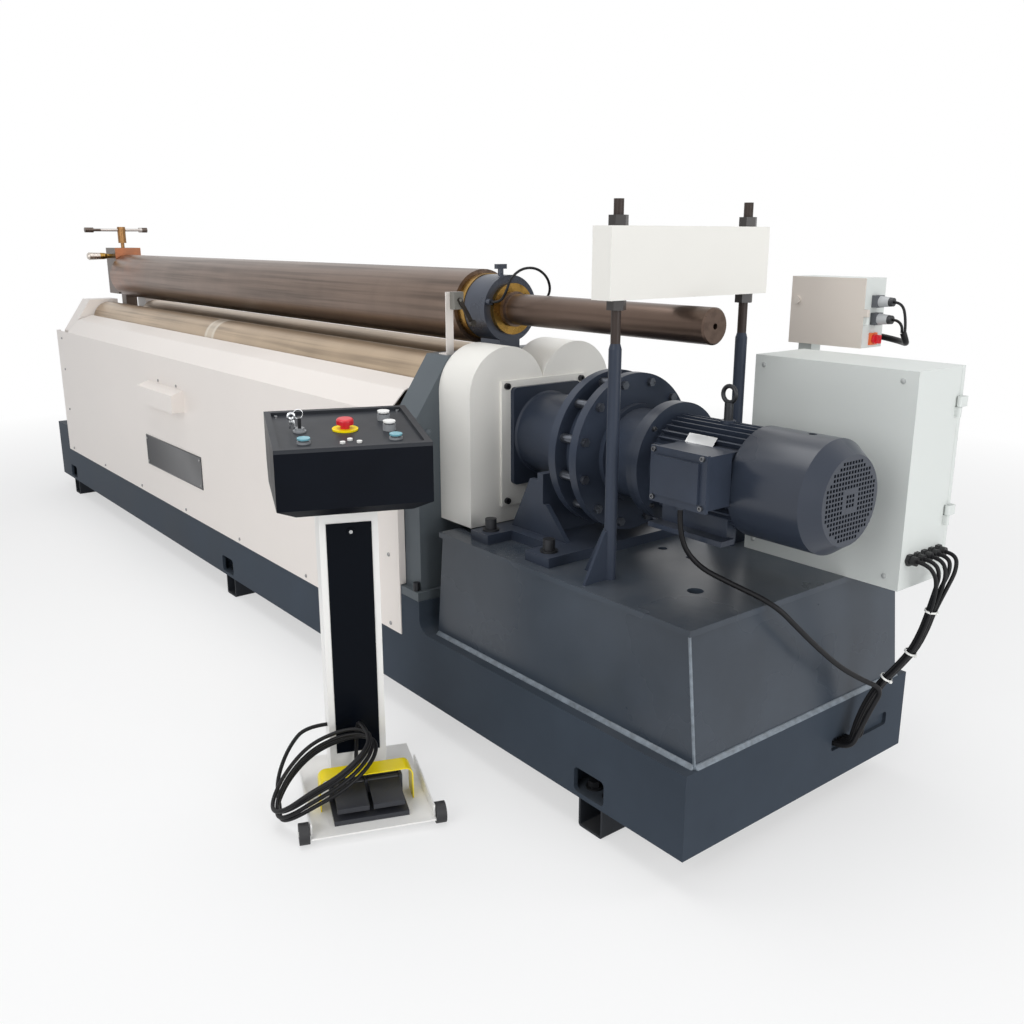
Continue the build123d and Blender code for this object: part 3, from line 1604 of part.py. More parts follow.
with BuildPart() as console_box:
    side = Plane(
        origin=pedestal.from_local_coords(Vector(0, console_half, 0)),
        x_dir=tuple(pedestal.x_dir),
        z_dir=(math.sin(heading), -math.cos(heading), 0),
    )
    with BuildSketch(side) as console_side:
        Polygon(
            (console_front, console_front_top),
            (console_front, console_front_bottom),
            (console_bottom_front, console_bottom),
            (console_bottom_rear, console_bottom),
            (console_rear, console_rear_bottom),
            (console_rear, console_rear_top),
            align=None,
        )
    extrude(console_side.sketch, amount=2 * console_half)
    ends = Plane(
        origin=pedestal.from_local_coords(Vector(console_rear - 1, 0, 0)),
        x_dir=(-math.sin(heading), math.cos(heading), 0),
        z_dir=tuple(pedestal.x_dir),
    )
    taper_slope = (console_front_bottom - console_bottom) / console_taper
    with BuildSketch(ends) as end_cuts:
        for half in (-console_half, console_half):
            outward = math.copysign(1, half)
            Polygon(
                (half + outward, console_front_bottom + taper_slope),
                (half - outward * (console_taper + 1), console_bottom - taper_slope),
                (half + outward, console_bottom - taper_slope),
                align=None,
            )
    extrude(end_cuts.sketch, amount=console_front - console_rear + 2, mode=Mode.SUBTRACT)
    space_top = console_recess + button_hole + console_wall
    space_bottom = console_front_bottom + console_wall
    with BuildSketch(side.offset(console_wall)) as console_space:
        Polygon(
            (console_front - console_wall, console_front_top - space_top),
            (console_front - console_wall, space_bottom),
            (console_bottom_rear + console_wall, space_bottom),
            (console_rear + console_wall, console_rear_bottom + console_wall),
            (console_rear + console_wall, console_rear_top - space_top),
            align=None,
        )
    extrude(console_space.sketch, amount=2 * (console_half - console_wall), mode=Mode.SUBTRACT)
    with BuildSketch(panel_plane) as recess:
        RectangleRounded(2 * (console_half - console_rim), panel_depth - 2 * console_rim, 6)
    extrude(recess.sketch, amount=console_recess + 5, mode=Mode.SUBTRACT)
    for place, height in button_places:
        collar_top = height - cap_thickness - press_room
        on_panel_round(place, bezel_radius, 0, collar_top)
        on_panel_round(place, button_radius + running_gap, -button_hole, collar_top + 1, mode=Mode.SUBTRACT)
    on_panel_round(stop_place, stop_ring_radius, 0, stop_ring_height)
    on_panel_round(stop_place, button_radius + running_gap, -button_hole, stop_ring_height + 1, mode=Mode.SUBTRACT)
    on_panel_round(key_place, bezel_radius, 0, bezel_height)
    on_panel_round(key_place, button_radius + running_gap, -button_hole, bezel_height + 1, mode=Mode.SUBTRACT)
    for place in lamp_places:
        on_panel_round(place, lamp_radius, 0, lamp_height)

with BuildPart() as emergency_stop:
    stop_head_bottom = stop_ring_height + stop_neck_height
    on_panel_round(stop_place, button_radius, -button_depth, stop_head_bottom)
    on_panel_round(stop_place, stop_head_radius, stop_head_bottom, stop_head_bottom + stop_head_height)
    stop_rim = emergency_stop.edges().filter_by(GeomType.CIRCLE).sort_by(Axis.Z)[-1]
    fillet(stop_rim, radius=6)

with BuildPart() as key_switch:
    on_panel_round(key_place, button_radius, -button_depth, bezel_height + key_collar)
    with BuildSketch(on_panel(key_place, bezel_height + key_collar)) as key_grip:
        Rectangle(key_grip_thickness, key_grip_width)
    extrude(key_grip.sketch, amount=key_grip_height)


def add_button(place, height):
    """Add a push-button's stem and its wider cap."""
    on_panel_round(place, button_radius, -button_depth, height - cap_thickness)
    on_panel_round(place, cap_radius, height - cap_thickness, height)


with BuildPart() as blue_button_left:
    add_button(blue_left_place, button_height)

with BuildPart() as blue_button_right:
    add_button(blue_right_place, button_height)

with BuildPart() as white_button_rear:
    add_button(white_rear_place, tall_button_height)

with BuildPart() as white_button_front:
    add_button(white_front_place, tall_button_height)

# Foot switch
pedal_pin_z = base_top + pedal_base_thickness + pedal_pin_rise
with BuildPart(pedestal) as pedal_base:
    pedal_floor = base_top + pedal_base_thickness
    block((pedal_rear, pedal_front), (-pedal_half, pedal_half), (base_top, pedal_floor))
    block(
        (pedal_rear, pedal_pin_x - pedal_thickness - 2),
        (-pedal_half, pedal_half),
        (pedal_floor, pedal_floor + pedal_wall_height),
    )
    for y in (-pedal_half, -pedal_divider / 2, pedal_half - pedal_divider):
        block((pedal_rear, pedal_pin_x + 10), (y, y + pedal_divider), (pedal_floor, pedal_floor + pedal_wall_height))
    along_y(-pedal_half, pedal_half, pedal_pin_x, pedal_pin_z, pedal_pin_radius)


def add_pedal(inner, outer):
    """Add a tread with its knuckle round the foot switch's pin."""
    with Locations(Location((pedal_pin_x, (inner + outer) / 2, pedal_pin_z), (0, pedal_slope, 0))):
        with Locations((pedal_reach / 2, 0, 0)):
            Box(pedal_reach, outer - inner, pedal_thickness)
        with Locations((pedal_reach - pedal_thickness / 2, 0, -pedal_lip / 2)):
            Box(pedal_thickness, outer - inner, pedal_lip)
    along_y(inner, outer, pedal_pin_x, pedal_pin_z, pedal_thickness)
    along_y(inner - 1, outer + 1, pedal_pin_x, pedal_pin_z, pedal_pin_radius + running_gap, mode=Mode.SUBTRACT)


pedal_inner = pedal_divider / 2 + pedal_side_gap
pedal_outer = pedal_half - pedal_divider - pedal_side_gap
with BuildPart(pedestal) as left_pedal:
    add_pedal(-pedal_outer, -pedal_inner)

with BuildPart(pedestal) as right_pedal:
    add_pedal(pedal_inner, pedal_outer)

with BuildPart() as pedal_guard:
    guard_plane = Plane(
        origin=pedestal.from_local_coords(Vector(guard_rear, 0, 0)),
        x_dir=panel_right,
        z_dir=tuple(pedestal.x_dir),
    )
    with BuildSketch(guard_plane) as guard_arch:
        guard_height = guard_top - base_top
        with Locations((0, base_top)):
            Rectangle(2 * guard_half, guard_height, align=(Align.CENTER, Align.MIN))
        upper = guard_arch.vertices().group_by(Axis.Y)[-1]
        fillet(upper, guard_corner)
        offset(amount=-guard_sheet, mode=Mode.SUBTRACT)
        with Locations((0, base_top)):
            Rectangle(2 * (guard_half - guard_sheet), guard_sheet * 2, align=(Align.CENTER, Align.MIN), mode=Mode.SUBTRACT)
    extrude(guard_arch.sketch, amount=guard_front - guard_rear)

with BuildPart(pedestal) as left_wheel:
    wheel_inner = base_half + wheel_gap
    along_y(-wheel_inner - wheel_width, -wheel_inner, wheel_x, wheel_radius, wheel_radius)
    along_y(-wheel_inner - wheel_width - 1, 0, wheel_x, wheel_radius, axle_radius + running_gap, mode=Mode.SUBTRACT)

with BuildPart(pedestal) as right_wheel:
    along_y(wheel_inner, wheel_inner + wheel_width, wheel_x, wheel_radius, wheel_radius)
    along_y(0, wheel_inner + wheel_width + 1, wheel_x, wheel_radius, axle_radius + running_gap, mode=Mode.SUBTRACT)

# Cords
motor_gland = (box_left + 46, (lid_inner_y + box_inner_y) / 2, box_bottom - box_gland_length)
slot_z = skid_height + cable_slot_rise
slot_floor_x = bed_right - cable_slot_depth
with BuildPart() as motor_cable:
    lay_cord(
        [
            motor_gland,
            (motor_gland[0], motor_gland[1], 704),
            (2152, -124, 640),
            (2221, -96, 614),
            (2328, -74, 590),
            (2354, -12, 522),
            (2363, 55, 462),
            (2375, 120, 407),
            (2390, 190, 362),
            (2410, 248, 330),
            (2396, 232, 282),
            (2384, 212, 228),
            (2376, 190, slot_z),
            (slot_floor_x, 190, slot_z),
        ],
        motor_cord_radius,
    )

with BuildPart() as cabinet_cables:
    for k in range(gland_count):
        gland_y = gland_first_y + k * gland_pitch
        beside = (k - (gland_count - 1) / 2) * cabinet_cord_step
        behind = cabinet_cord_stagger * (k % 2)
        lay_cord(
            [
                (enclosure_right + gland_length, gland_y, gland_z),
                (enclosure_right + gland_length + 26, gland_y, gland_z),
                (2497 - 0.4 * behind, 0.65 * gland_y + 0.35 * (296 + beside), 622),
                (2493 - behind, 0.25 * gland_y + 0.75 * (296 + beside), 580),
                (2482 - behind, 296 + beside, 530),
                (2471 - behind, 295 + beside, 482),
                (2454 - behind, 290 + beside, 430),
                (2428 - behind, 277 + beside, 382),
                (2398 - behind, 262 + beside, 334),
                (2380 - behind, 246 + beside, 286),
                (2370 - behind, 232 + 1.5 * beside, 230),
                (2366 - behind, 224 + 2.1 * beside, slot_z),
                (slot_floor_x, 224 + 2.1 * beside, slot_z),
            ],
            cabinet_cord_radius,
        )

with BuildPart() as plug_cables:
    plug_end = cabinet_right + connector_depth + plug_length
    lay_cord(
        [
            (plug_end, middle_y, connector_z),
            (plug_end + 24, middle_y, connector_z),
            (2202, middle_y, 1146),
            (2202, middle_y, 1116),
        ],
        plug_cord_radius,
    )
    lay_cord(
        [
            (plug_end, middle_y, connector_z - connector_pitch),
            (plug_end + 11, middle_y, connector_z - connector_pitch),
            (2188, middle_y, 1139),
            (2194, middle_y, 1128),
            (2194, middle_y, 1116),
        ],
        plug_cord_radius,
    )
    lay_cord(
        [
            (2198, middle_y, 1116),
            (2204, middle_y + 5, 1095),
            (2186, middle_y + 36, 1088),
            (2150, cabinet_rear + 20, 1090),
            (2084, cabinet_rear + 26, 1098),
            (2084, cabinet_rear, 1098),
        ],
        sleeve_cord_radius,
    )

with BuildPart() as bearing_hose:
    fitting_end = housing_right + fitting_length
    hose_front = [
        (fitting_end, -fitting_y, top_roll_z + fitting_rise),
        (fitting_end + 40, -fitting_y, top_roll_z + fitting_rise),
        (fitting_end + 64, -fitting_y + 2, top_roll_z + fitting_rise + 28),
        (fitting_end + 66, -66, top_roll_z + 84),
        (fitting_end + 66, -36, top_roll_z + 107),
    ]
    hose_rear = [(x, -y, z) for x, y, z in reversed(hose_front)]
    lay_cord(hose_front + [(fitting_end + 66, 0, top_roll_z + 114)] + hose_rear, hose_radius)

# Pedal cable: loose loops draped over the left end of the guard
coil_centre = Vector(115, -97, 126)
coil_long_way = Vector(-25, 119, 46)
coil_short_way = Vector(80, 11, -12)
coil_up = Vector(0.209, -0.312, 0.927)
coil_first_turn = -157.5
edge_y = -150.0
edge_droop = 0.6


def coil_point(step):
    """Corner of the loops, by its number along the cord."""
    turn = math.radians(coil_first_turn - 360 * step / coil_corners)
    lap = step / coil_corners
    stretch = 1.02 + 0.03 * math.sin(2.3 * lap)
    place = coil_centre + coil_long_way * (stretch * math.cos(turn)) + coil_short_way * (stretch * math.sin(turn))
    place = place + coil_up * (coil_rise * (lap - coil_turns / 2))
    droop = edge_droop * max(0.0, edge_y - place.Y)
    return (place.X, place.Y, place.Z - droop)


# The last loop stops at its upper end, where the cord leaves it towards the column
coil_last_step = coil_turns * coil_corners - 5
pedal_local = [
    (-50, -column_half, 150),
    (-50, -column_half - 55, 150),
    (-28, -165, 118),
    (12, -194, 82),
    (56, -208, 52),
]
pedal_local += [coil_point(step) for step in range(coil_last_step)]
pedal_local += [
    (66, 0, 202),
    (28, -4, 180),
    (14, -6, 128),
    (18, -9, 82),
    (40, -13, 50),
    (70, -14, 38),
    (pedal_rear, -14, 38),
]
pedal_points = [tuple(pedestal.from_local_coords(Vector(*place))) for place in pedal_local]
with BuildPart() as pedal_cable:
    lay_cord(pedal_points, pedal_cord_radius, coiled=True)

pieces = {
    "bed_frame": bed_frame,
    "skid_tubes": skid_tubes,
    "fasteners": fasteners,
    "drive_riser": drive_riser,
    "right_stand": right_stand,
    "left_stand": left_stand,
    "front_cover": front_cover,
    "rear_cover": rear_cover,
    "roll_bushes": roll_bushes,
    "front_lower_roll": front_lower_roll,
    "rear_lower_roll": rear_lower_roll,
    "drive_pinion": drive_pinion,
    "gear_cover": gear_cover,
    "reducer_housing": reducer_housing,
    "reducer_end_disc": reducer_end_disc,
    "reducer_bolts": reducer_bolts,
    "reducer_foot": reducer_foot,
    "motor_body": motor_body,
    "terminal_box": terminal_box,
    "fan_cowl": fan_cowl,
    "cooling_fan": cooling_fan,
    "tie_posts": tie_posts,
    "balance_beam": balance_beam,
    "top_roll": top_roll,
    "top_bearing_housing": top_bearing_housing,
    "top_bearing_bush": top_bearing_bush,
    "left_lift_block": left_lift_block,
    "drop_arm": drop_arm,
    "drop_arm_bush": drop_arm_bush,
    "clamp_screw": clamp_screw,
    "locking_pin": locking_pin,
    "lift_drive": lift_drive,
    "limit_bracket": limit_bracket,
    "limit_lever": limit_lever,
    "enclosure_body": enclosure_body,
    "enclosure_door": enclosure_door,
    "cable_glands": cable_glands,
    "switch_cabinet": switch_cabinet,
    "switch_cabinet_door": switch_cabinet_door,
    "isolator_knob": isolator_knob,
    "pedestal_frame": pedestal_frame,
    "column_panel": column_panel,
    "console_box": console_box,
    "emergency_stop": emergency_stop,
    "key_switch": key_switch,
    "blue_button_left": blue_button_left,
    "blue_button_right": blue_button_right,
    "white_button_rear": white_button_rear,
    "white_button_front": white_button_front,
    "pedal_base": pedal_base,
    "left_pedal": left_pedal,
    "right_pedal": right_pedal,
    "pedal_guard": pedal_guard,
    "left_wheel": left_wheel,
    "right_wheel": right_wheel,
    "motor_cable": motor_cable,
    "cabinet_cables": cabinet_cables,
    "pedal_cable": pedal_cable,
    "plug_cables": plug_cables,
    "bearing_hose": bearing_hose,
}
for node, piece in pieces.items():
    piece.part.label = node
    export_step(piece.part, f"parts/{node}.step")
print(len(pieces), "pieces written")
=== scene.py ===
"""Looks of a plate rolling machine: finishes, cables, plates, rivets, weld beads and a pale studio."""

import math

import bpy
from mathutils import Matrix, Vector


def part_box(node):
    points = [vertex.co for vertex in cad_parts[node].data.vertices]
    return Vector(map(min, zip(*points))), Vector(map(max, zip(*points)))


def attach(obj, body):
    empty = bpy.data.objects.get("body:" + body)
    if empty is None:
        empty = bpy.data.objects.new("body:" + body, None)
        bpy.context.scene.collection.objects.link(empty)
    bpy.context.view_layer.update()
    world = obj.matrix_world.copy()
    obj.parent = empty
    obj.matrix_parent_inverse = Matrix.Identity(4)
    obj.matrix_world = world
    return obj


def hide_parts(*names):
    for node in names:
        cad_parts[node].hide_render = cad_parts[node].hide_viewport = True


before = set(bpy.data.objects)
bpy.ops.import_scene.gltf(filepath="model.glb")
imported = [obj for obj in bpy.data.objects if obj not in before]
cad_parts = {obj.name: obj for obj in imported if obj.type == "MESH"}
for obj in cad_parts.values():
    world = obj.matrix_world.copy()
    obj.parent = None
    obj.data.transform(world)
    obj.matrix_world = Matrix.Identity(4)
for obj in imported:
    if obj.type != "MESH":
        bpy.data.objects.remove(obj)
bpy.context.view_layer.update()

bl_info = {
    "name": "Plate Rolling Machine Looks",
    "version": (1, 0, 0),
    "blender": (4, 5, 0),
    "location": "View3D > Sidebar > Rolling Machine",
    "description": "Finishes and small parts for the plate rolling machine, and a studio to view it in",
    "category": "Object",
}

# Lines and levels of the solids, in metres
hood_depth = 0.05
cover_face_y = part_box("front_cover")[0][1] + hood_depth
plate_face_y = cover_face_y - 0.0022
riser_low, riser_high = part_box("drive_riser")
riser_front_y = -0.303
flange_face_x = 1.975
flange_bolt_radius = 0.129
motor_plate_x = 2.110
motor_plate_radius = 0.1175
lid_panel_depth = 0.007
lid_column_inset = 0.011
lid_row_inset = 0.007
box_gland_length = 0.022
drive_axis_z = 0.827752
stud_foot_z = 1.1201
beam_foot_z = 1.2139
beam_head_z = 1.3681
bracket_switch_x = 1.3031
eye_bolt_z = drive_axis_z + 0.124
eye_bolt_x = 2.0
cabinet_side_x = 2.1131
cabinet_plug_x = 2.1291
cabinet_boot_x = 2.1551
cabinet_fitting_y = 0.520
isolator_top_z = 1.1155
shaded_tail_start_x = 1.365
pedestal_foot_z = 0.0179
stop_ring_radius = 0.0304
bezel_radius = 0.0154
lamp_radius = 0.0064
pedestal_spot = Vector((1.519, -0.640, 0.0))
pedestal_heading = math.radians(-21.9)
panel_spot = Vector((1.51993, -0.64037, 0.9145))
panel_up = Vector((0.07979, -0.03207, 0.99630))
panel_across = Vector((0.37299, 0.92784, 0.0))
panel_away = panel_up.cross(panel_across)


def linear(red, green, blue):
    """Turn a screen colour of 0 to 255 into the linear values that shaders take."""
    steps = []
    for level in (red, green, blue):
        share = level / 255
        steps.append(share / 12.92 if share <= 0.04045 else ((share + 0.055) / 1.055) ** 2.4)
    return tuple(steps)


def colour_setting(label, about, red, green, blue):
    """Property for a finish's main colour."""
    return bpy.props.FloatVectorProperty(
        name=label,
        description=about,
        default=linear(red, green, blue),
        size=3,
        min=0.0,
        max=1.0,
        subtype="COLOR",
    )


def length_setting(label, about, metres):
    """Property for a size in metres."""
    return bpy.props.FloatProperty(
        name=label, description=about, default=metres, min=0.0, unit="LENGTH", precision=4
    )


def power_setting(label, about, watts):
    """Property for a light's power."""
    return bpy.props.FloatProperty(name=label, description=about, default=watts, min=0.0, unit="POWER")


class MachineColours(bpy.types.PropertyGroup):
    """Main colour of each finish."""

    bed: colour_setting("Bed", "Blue-grey paint of the bed and the drive riser", 58, 66, 76)
    drive: colour_setting("Drive", "Paint of the reducer, the motor and the posts", 50, 57, 70)
    skid: colour_setting("Skids", "Paint of the square tubes under the bed", 42, 45, 50)
    stand: colour_setting("Stand", "Grey paint of the right-hand stand", 90, 97, 102)
    cover: colour_setting("Covers", "Warm white of the sheet covers and the left stand", 232, 225, 219)
    beam: colour_setting("Beam", "White of the balance beam and the gear cover", 233, 231, 225)
    cabinet: colour_setting("Cabinets", "Textured grey of the electrical enclosures", 209, 213, 210)
    # Painted light: the door's warm grey stands for the warm light on the cabinet's front; the body keeps
    # the cabinet grey.
    lit_switch_door: colour_setting("Switch door", "Warm grey of the switch cabinet's door", 212, 203, 194)
    top_roll: colour_setting("Top roll", "Brown-grey steel of the top roll", 119, 102, 91)
    lower_roll: colour_setting("Lower rolls", "Tan steel of the lower rolls", 180, 159, 134)
    bronze: colour_setting("Bronze", "Bushes, thrust rings and small turned fittings", 160, 126, 66)
    iron: colour_setting("Bearing housing", "Oiled iron of the top bearing housing", 66, 71, 82)
    arm: colour_setting("Drop arm", "Milled steel of the arm that swings down", 96, 84, 76)
    bolt: colour_setting("Bolts", "Blackened steel of the bolts and the pad screws", 52, 53, 56)
    console: colour_setting("Console", "Near-black paint of the console", 9, 13, 21)
    black: colour_setting("Black plastic", "Pedals and their base", 44, 46, 52)
    sheath: colour_setting("Cable sheath", "Black sheath of the cables", 24, 24, 26)
    stop: colour_setting("Stop head", "Red of the emergency stop and the isolator knob", 214, 36, 50)
    ring: colour_setting("Guard yellow", "Yellow of the pedal guard and the stop's ring", 252, 226, 16)
    teal: colour_setting("Blue caps", "Pale blue caps of two push-buttons", 116, 176, 190)
    plate: colour_setting("Bare plate", "Dark bare plate on the front cover", 33, 34, 39)


class MachineSizes(bpy.types.PropertyGroup):
    """Sizes of the cables and the small parts."""

    motor_cable: length_setting("Motor cable radius", "Radius of the motor cable", 0.0060)
    cabinet_cable: length_setting("Cabinet cable radius", "Radius of each cable from the enclosure", 0.0046)
    plug_cable: length_setting("Plug cable radius", "Radius of the thin cables from the two plugs", 0.0034)
    sleeve: length_setting("Sleeve radius", "Radius of the sleeve that takes in both plug cables", 0.0080)
    hose: length_setting("Hose radius", "Radius of the grease hose over the bearing", 0.0036)
    pedal_cable: length_setting("Pedal cable radius", "Radius of the coiled pedal cable", 0.0049)
    rivet: length_setting("Rivet radius", "Radius of the rivet heads on the covers", 0.0060)
    bead: length_setting("Weld bead", "Width of the weld beads on each face", 0.0110)


class StageSettings(bpy.types.PropertyGroup):
    """Studio round the machine."""

    floor: colour_setting("Floor", "Pale floor", 240, 240, 240)
    overhead: power_setting("Overhead light", "Power of the large soft light above", 88.0)
    front: power_setting("Front light", "Power of the soft light in front", 104.0)
    end: power_setting("End light", "Power of the soft light beyond the motor end", 78.0)
    rim: power_setting("Rim light", "Power of the small light behind the motor", 14.0)
    sky: bpy.props.FloatProperty(
        name="Sky", description="Strength of the even light from all round", default=0.40, min=0.0
    )


# Shader groups that several finishes share
def start_group(name, values, outputs):
    """Make a shader group that takes a place and named values, and give its ends."""
    group = bpy.data.node_groups.new(name, "ShaderNodeTree")
    group.interface.new_socket("Vector", in_out="INPUT", socket_type="NodeSocketVector")
    for label, value in values.items():
        socket = group.interface.new_socket(label, in_out="INPUT", socket_type="NodeSocketFloat")
        socket.default_value = value
    for label in outputs:
        group.interface.new_socket(label, in_out="OUTPUT", socket_type="NodeSocketFloat")
    entry = group.nodes.new("NodeGroupInput")
    leave = group.nodes.new("NodeGroupOutput")
    return group, entry.outputs, leave.inputs


def fill(tree, socket, value):
    """Link a socket to another, or set it to a plain value."""
    if isinstance(value, bpy.types.NodeSocket):
        tree.links.new(value, socket)
    elif value is not None:
        socket.default_value = value


def math_node(tree, operation, first, second=None, clamp=False):
    """Add a Math node fed by sockets or plain numbers and return its result."""
    node = tree.nodes.new("ShaderNodeMath")
    node.operation = operation
    node.use_clamp = clamp
    fill(tree, node.inputs[0], first)
    fill(tree, node.inputs[1], second)
    return node.outputs[0]


def vector_node(tree, operation, first, second=None):
    """Add a Vector Math node fed by sockets or plain vectors and return its result."""
    node = tree.nodes.new("ShaderNodeVectorMath")
    node.operation = operation
    fill(tree, node.inputs[0], first)
    fill(tree, node.inputs[1], second)
    one_number = operation in ("DISTANCE", "DOT_PRODUCT", "LENGTH")
    return node.outputs["Value" if one_number else "Vector"]


def range_node(tree, value, **limits):
    """Add a Map Range node with the limits that are given and return its result."""
    node = tree.nodes.new("ShaderNodeMapRange")
    for label, limit in limits.items():
        node.inputs[label.replace("_", " ").title()].default_value = limit
    tree.links.new(value, node.inputs["Value"])
    return node.outputs["Result"]


def mix_shaders(tree, mask, first, second, output):
    """Mix two shaders by a mask and send the result to the tree's output."""
    node = tree.nodes.new("ShaderNodeMixShader")
    for socket, source in zip(node.inputs, (mask, first, second)):
        tree.links.new(source, socket)
    tree.links.new(node.outputs[0], tree.nodes[output].inputs["Surface"])


def noise_node(tree, vector, scale, detail=3.0, roughness=0.55):
    """Add a noise texture and return its value."""
    node = tree.nodes.new("ShaderNodeTexNoise")
    inputs = {"Vector": vector, "Scale": scale, "Detail": detail, "Roughness": roughness}
    for label, value in inputs.items():
        fill(tree, node.inputs[label], value)
    return node.outputs["Fac"]


def make_clouds_group():
    """Slow drift of tone over a broad face."""
    group, entry, leave = start_group("tone_clouds", {"Scale": 3.0, "Contrast": 1.0}, ["Tone"])
    broad = noise_node(group, entry["Vector"], entry["Scale"], 4.0)
    centred = math_node(group, "SUBTRACT", broad, 0.5)
    spread = math_node(group, "MULTIPLY", centred, entry["Contrast"])
    tone = math_node(group, "ADD", spread, 0.5, clamp=True)
    group.links.new(tone, leave["Tone"])
    return group


def make_peel_group():
    """Fine uneven skin of sprayed paint or moulded plastic."""
    group, entry, leave = start_group("paint_peel", {"Scale": 260.0}, ["Height"])
    fine = noise_node(group, entry["Vector"], entry["Scale"], 2.0)
    group.links.new(fine, leave["Height"])
    return group


def make_turning_group():
    """Fine lines and bands round a bar that lies along X, and streaks along it."""
    values = {"Lines": 420.0, "Bands": 5.0, "Streaks": 0.8}
    group, entry, leave = start_group("turning_lines", values, ["Line", "Band", "Streak"])
    for label, across, output, detail in (
        ("Lines", 6.0, "Line", 2.0),
        ("Bands", 1.6, "Band", 5.0),
        ("Streaks", 46.0, "Streak", 4.0),
    ):
        squeeze = group.nodes.new("ShaderNodeCombineXYZ")
        for axis, value in (("X", entry[label]), ("Y", across), ("Z", across)):
            fill(group, squeeze.inputs[axis], value)
        stretched = vector_node(group, "MULTIPLY", entry["Vector"], squeeze.outputs[0])
        group.links.new(noise_node(group, stretched, 1.0, detail), leave[output])
    return group


def make_dust_group():
    """Thin dust on faces that look up, broken by clouds."""
    group, entry, leave = start_group("settled_dust", {"Amount": 0.3}, ["Mask"])
    surface = group.nodes.new("ShaderNodeNewGeometry")
    parts = group.nodes.new("ShaderNodeSeparateXYZ")
    group.links.new(surface.outputs["Normal"], parts.inputs[0])
    facing = math_node(group, "SUBTRACT", parts.outputs["Z"], 0.6)
    upward = math_node(group, "MULTIPLY", facing, 2.5, clamp=True)
    clouds = noise_node(group, entry["Vector"], 4.5, 6.0, 0.62)
    lifted = math_node(group, "SUBTRACT", clouds, 0.34)
    patches = math_node(group, "MULTIPLY", lifted, 2.2, clamp=True)
    both = math_node(group, "MULTIPLY", upward, patches)
    mask = math_node(group, "MULTIPLY", both, entry["Amount"], clamp=True)
    group.links.new(mask, leave["Mask"])
    return group


shared_groups = {}


def shared_group(name):
    """Give a shared shader group, made on its first use."""
    makers = {
        "tone_clouds": make_clouds_group,
        "paint_peel": make_peel_group,
        "turning_lines": make_turning_group,
        "settled_dust": make_dust_group,
    }
    if name not in shared_groups:
        shared_groups[name] = makers[name]()
    return shared_groups[name]


# Finishes
class Finish:
    """A material under construction, with its shader and its place on the surface."""

    def __init__(self, name, roughness=0.5, metallic=0.0):
        self.material = bpy.data.materials.new(name)
        self.material.use_nodes = True
        self.tree = self.material.node_tree
        self.shader = self.tree.nodes["Principled BSDF"]
        self.shader.inputs["Roughness"].default_value = roughness
        self.shader.inputs["Metallic"].default_value = metallic
        place = self.tree.nodes.new("ShaderNodeTexCoord")
        self.place = place.outputs["Object"]
        parts = self.tree.nodes.new("ShaderNodeSeparateXYZ")
        self.tree.links.new(self.place, parts.inputs[0])
        self.x, self.y, self.z = parts.outputs

    def group(self, name, **values):
        """Place a shared group and feed it the surface's place."""
        node = self.tree.nodes.new("ShaderNodeGroup")
        node.node_tree = shared_group(name)
        self.tree.links.new(self.place, node.inputs["Vector"])
        for label, value in values.items():
            node.inputs[label].default_value = value
        return node.outputs

    def blend(self, mask, first, second):
        """Mix two colours, given as sockets or linear values, by a mask."""
        node = self.tree.nodes.new("ShaderNodeMix")
        node.data_type = "RGBA"
        self.tree.links.new(mask, node.inputs["Factor"])
        for socket, value in ((node.inputs[6], first), (node.inputs[7], second)):
            plain = not isinstance(value, bpy.types.NodeSocket)
            fill(self.tree, socket, (*value, 1.0) if plain else value)
        return node.outputs[2]

    def ramp(self, value, low, high):
        """Spread a value of 0 to 1 between two numbers."""
        return range_node(self.tree, value, to_min=low, to_max=high)

    def fade(self, value, none, full):
        """Mask that grows from nothing at one value to one at another."""
        return range_node(self.tree, value, from_min=none, from_max=full)

    def above(self, value, limit):
        """Mask of one where a value is over a limit."""
        return math_node(self.tree, "GREATER_THAN", value, limit)

    def below(self, value, limit):
        """Mask of one where a value is under a limit."""
        return math_node(self.tree, "LESS_THAN", value, limit)

    def either(self, first, second):
        """Union of two masks."""
        return math_node(self.tree, "MAXIMUM", first, second)

    def both(self, first, second):
        """Overlap of two masks."""
        return math_node(self.tree, "MULTIPLY", first, second)

    def beyond(self, direction, point):
        """Mask of the side of a plane that a direction points to."""
        reach = vector_node(self.tree, "DOT_PRODUCT", self.place, direction)
        return self.above(reach, Vector(direction).dot(Vector(point)))

    def post(self, centre, direction, radius):
        """Mask of a round post that runs along a direction through a point."""
        apart = vector_node(self.tree, "SUBTRACT", self.place, centre)
        crossed = vector_node(self.tree, "CROSS_PRODUCT", apart, direction)
        return self.below(vector_node(self.tree, "LENGTH", crossed), radius)

    def bump(self, height, strength, distance):
        """Raise the surface by a height."""
        node = self.tree.nodes.new("ShaderNodeBump")
        node.inputs["Strength"].default_value = strength
        node.inputs["Distance"].default_value = distance
        self.tree.links.new(height, node.inputs["Height"])
        self.tree.links.new(node.outputs["Normal"], self.shader.inputs["Normal"])

    def skin(self, scale, strength, distance=0.0004):
        """Raise a fine uneven skin."""
        self.bump(self.group("paint_peel", Scale=scale)["Height"], strength, distance)

    def feed(self, label, socket):
        """Link a socket to the shader."""
        self.tree.links.new(socket, self.shader.inputs[label])

    def tint(self, colour):
        """Take a colour as the surface's own."""
        self.colour = colour
        self.feed("Base Color", colour)

    def mottle(self, tone, colour, spread):
        """Colour that drifts by a tone to both sides of a main one."""
        return self.blend(tone, shift(colour, 1 - spread), shift(colour, 1 + spread))


def shift(colour, factor):
    """Lighten or darken a linear colour."""
    return tuple(min(level * factor, 1.0) for level in colour)


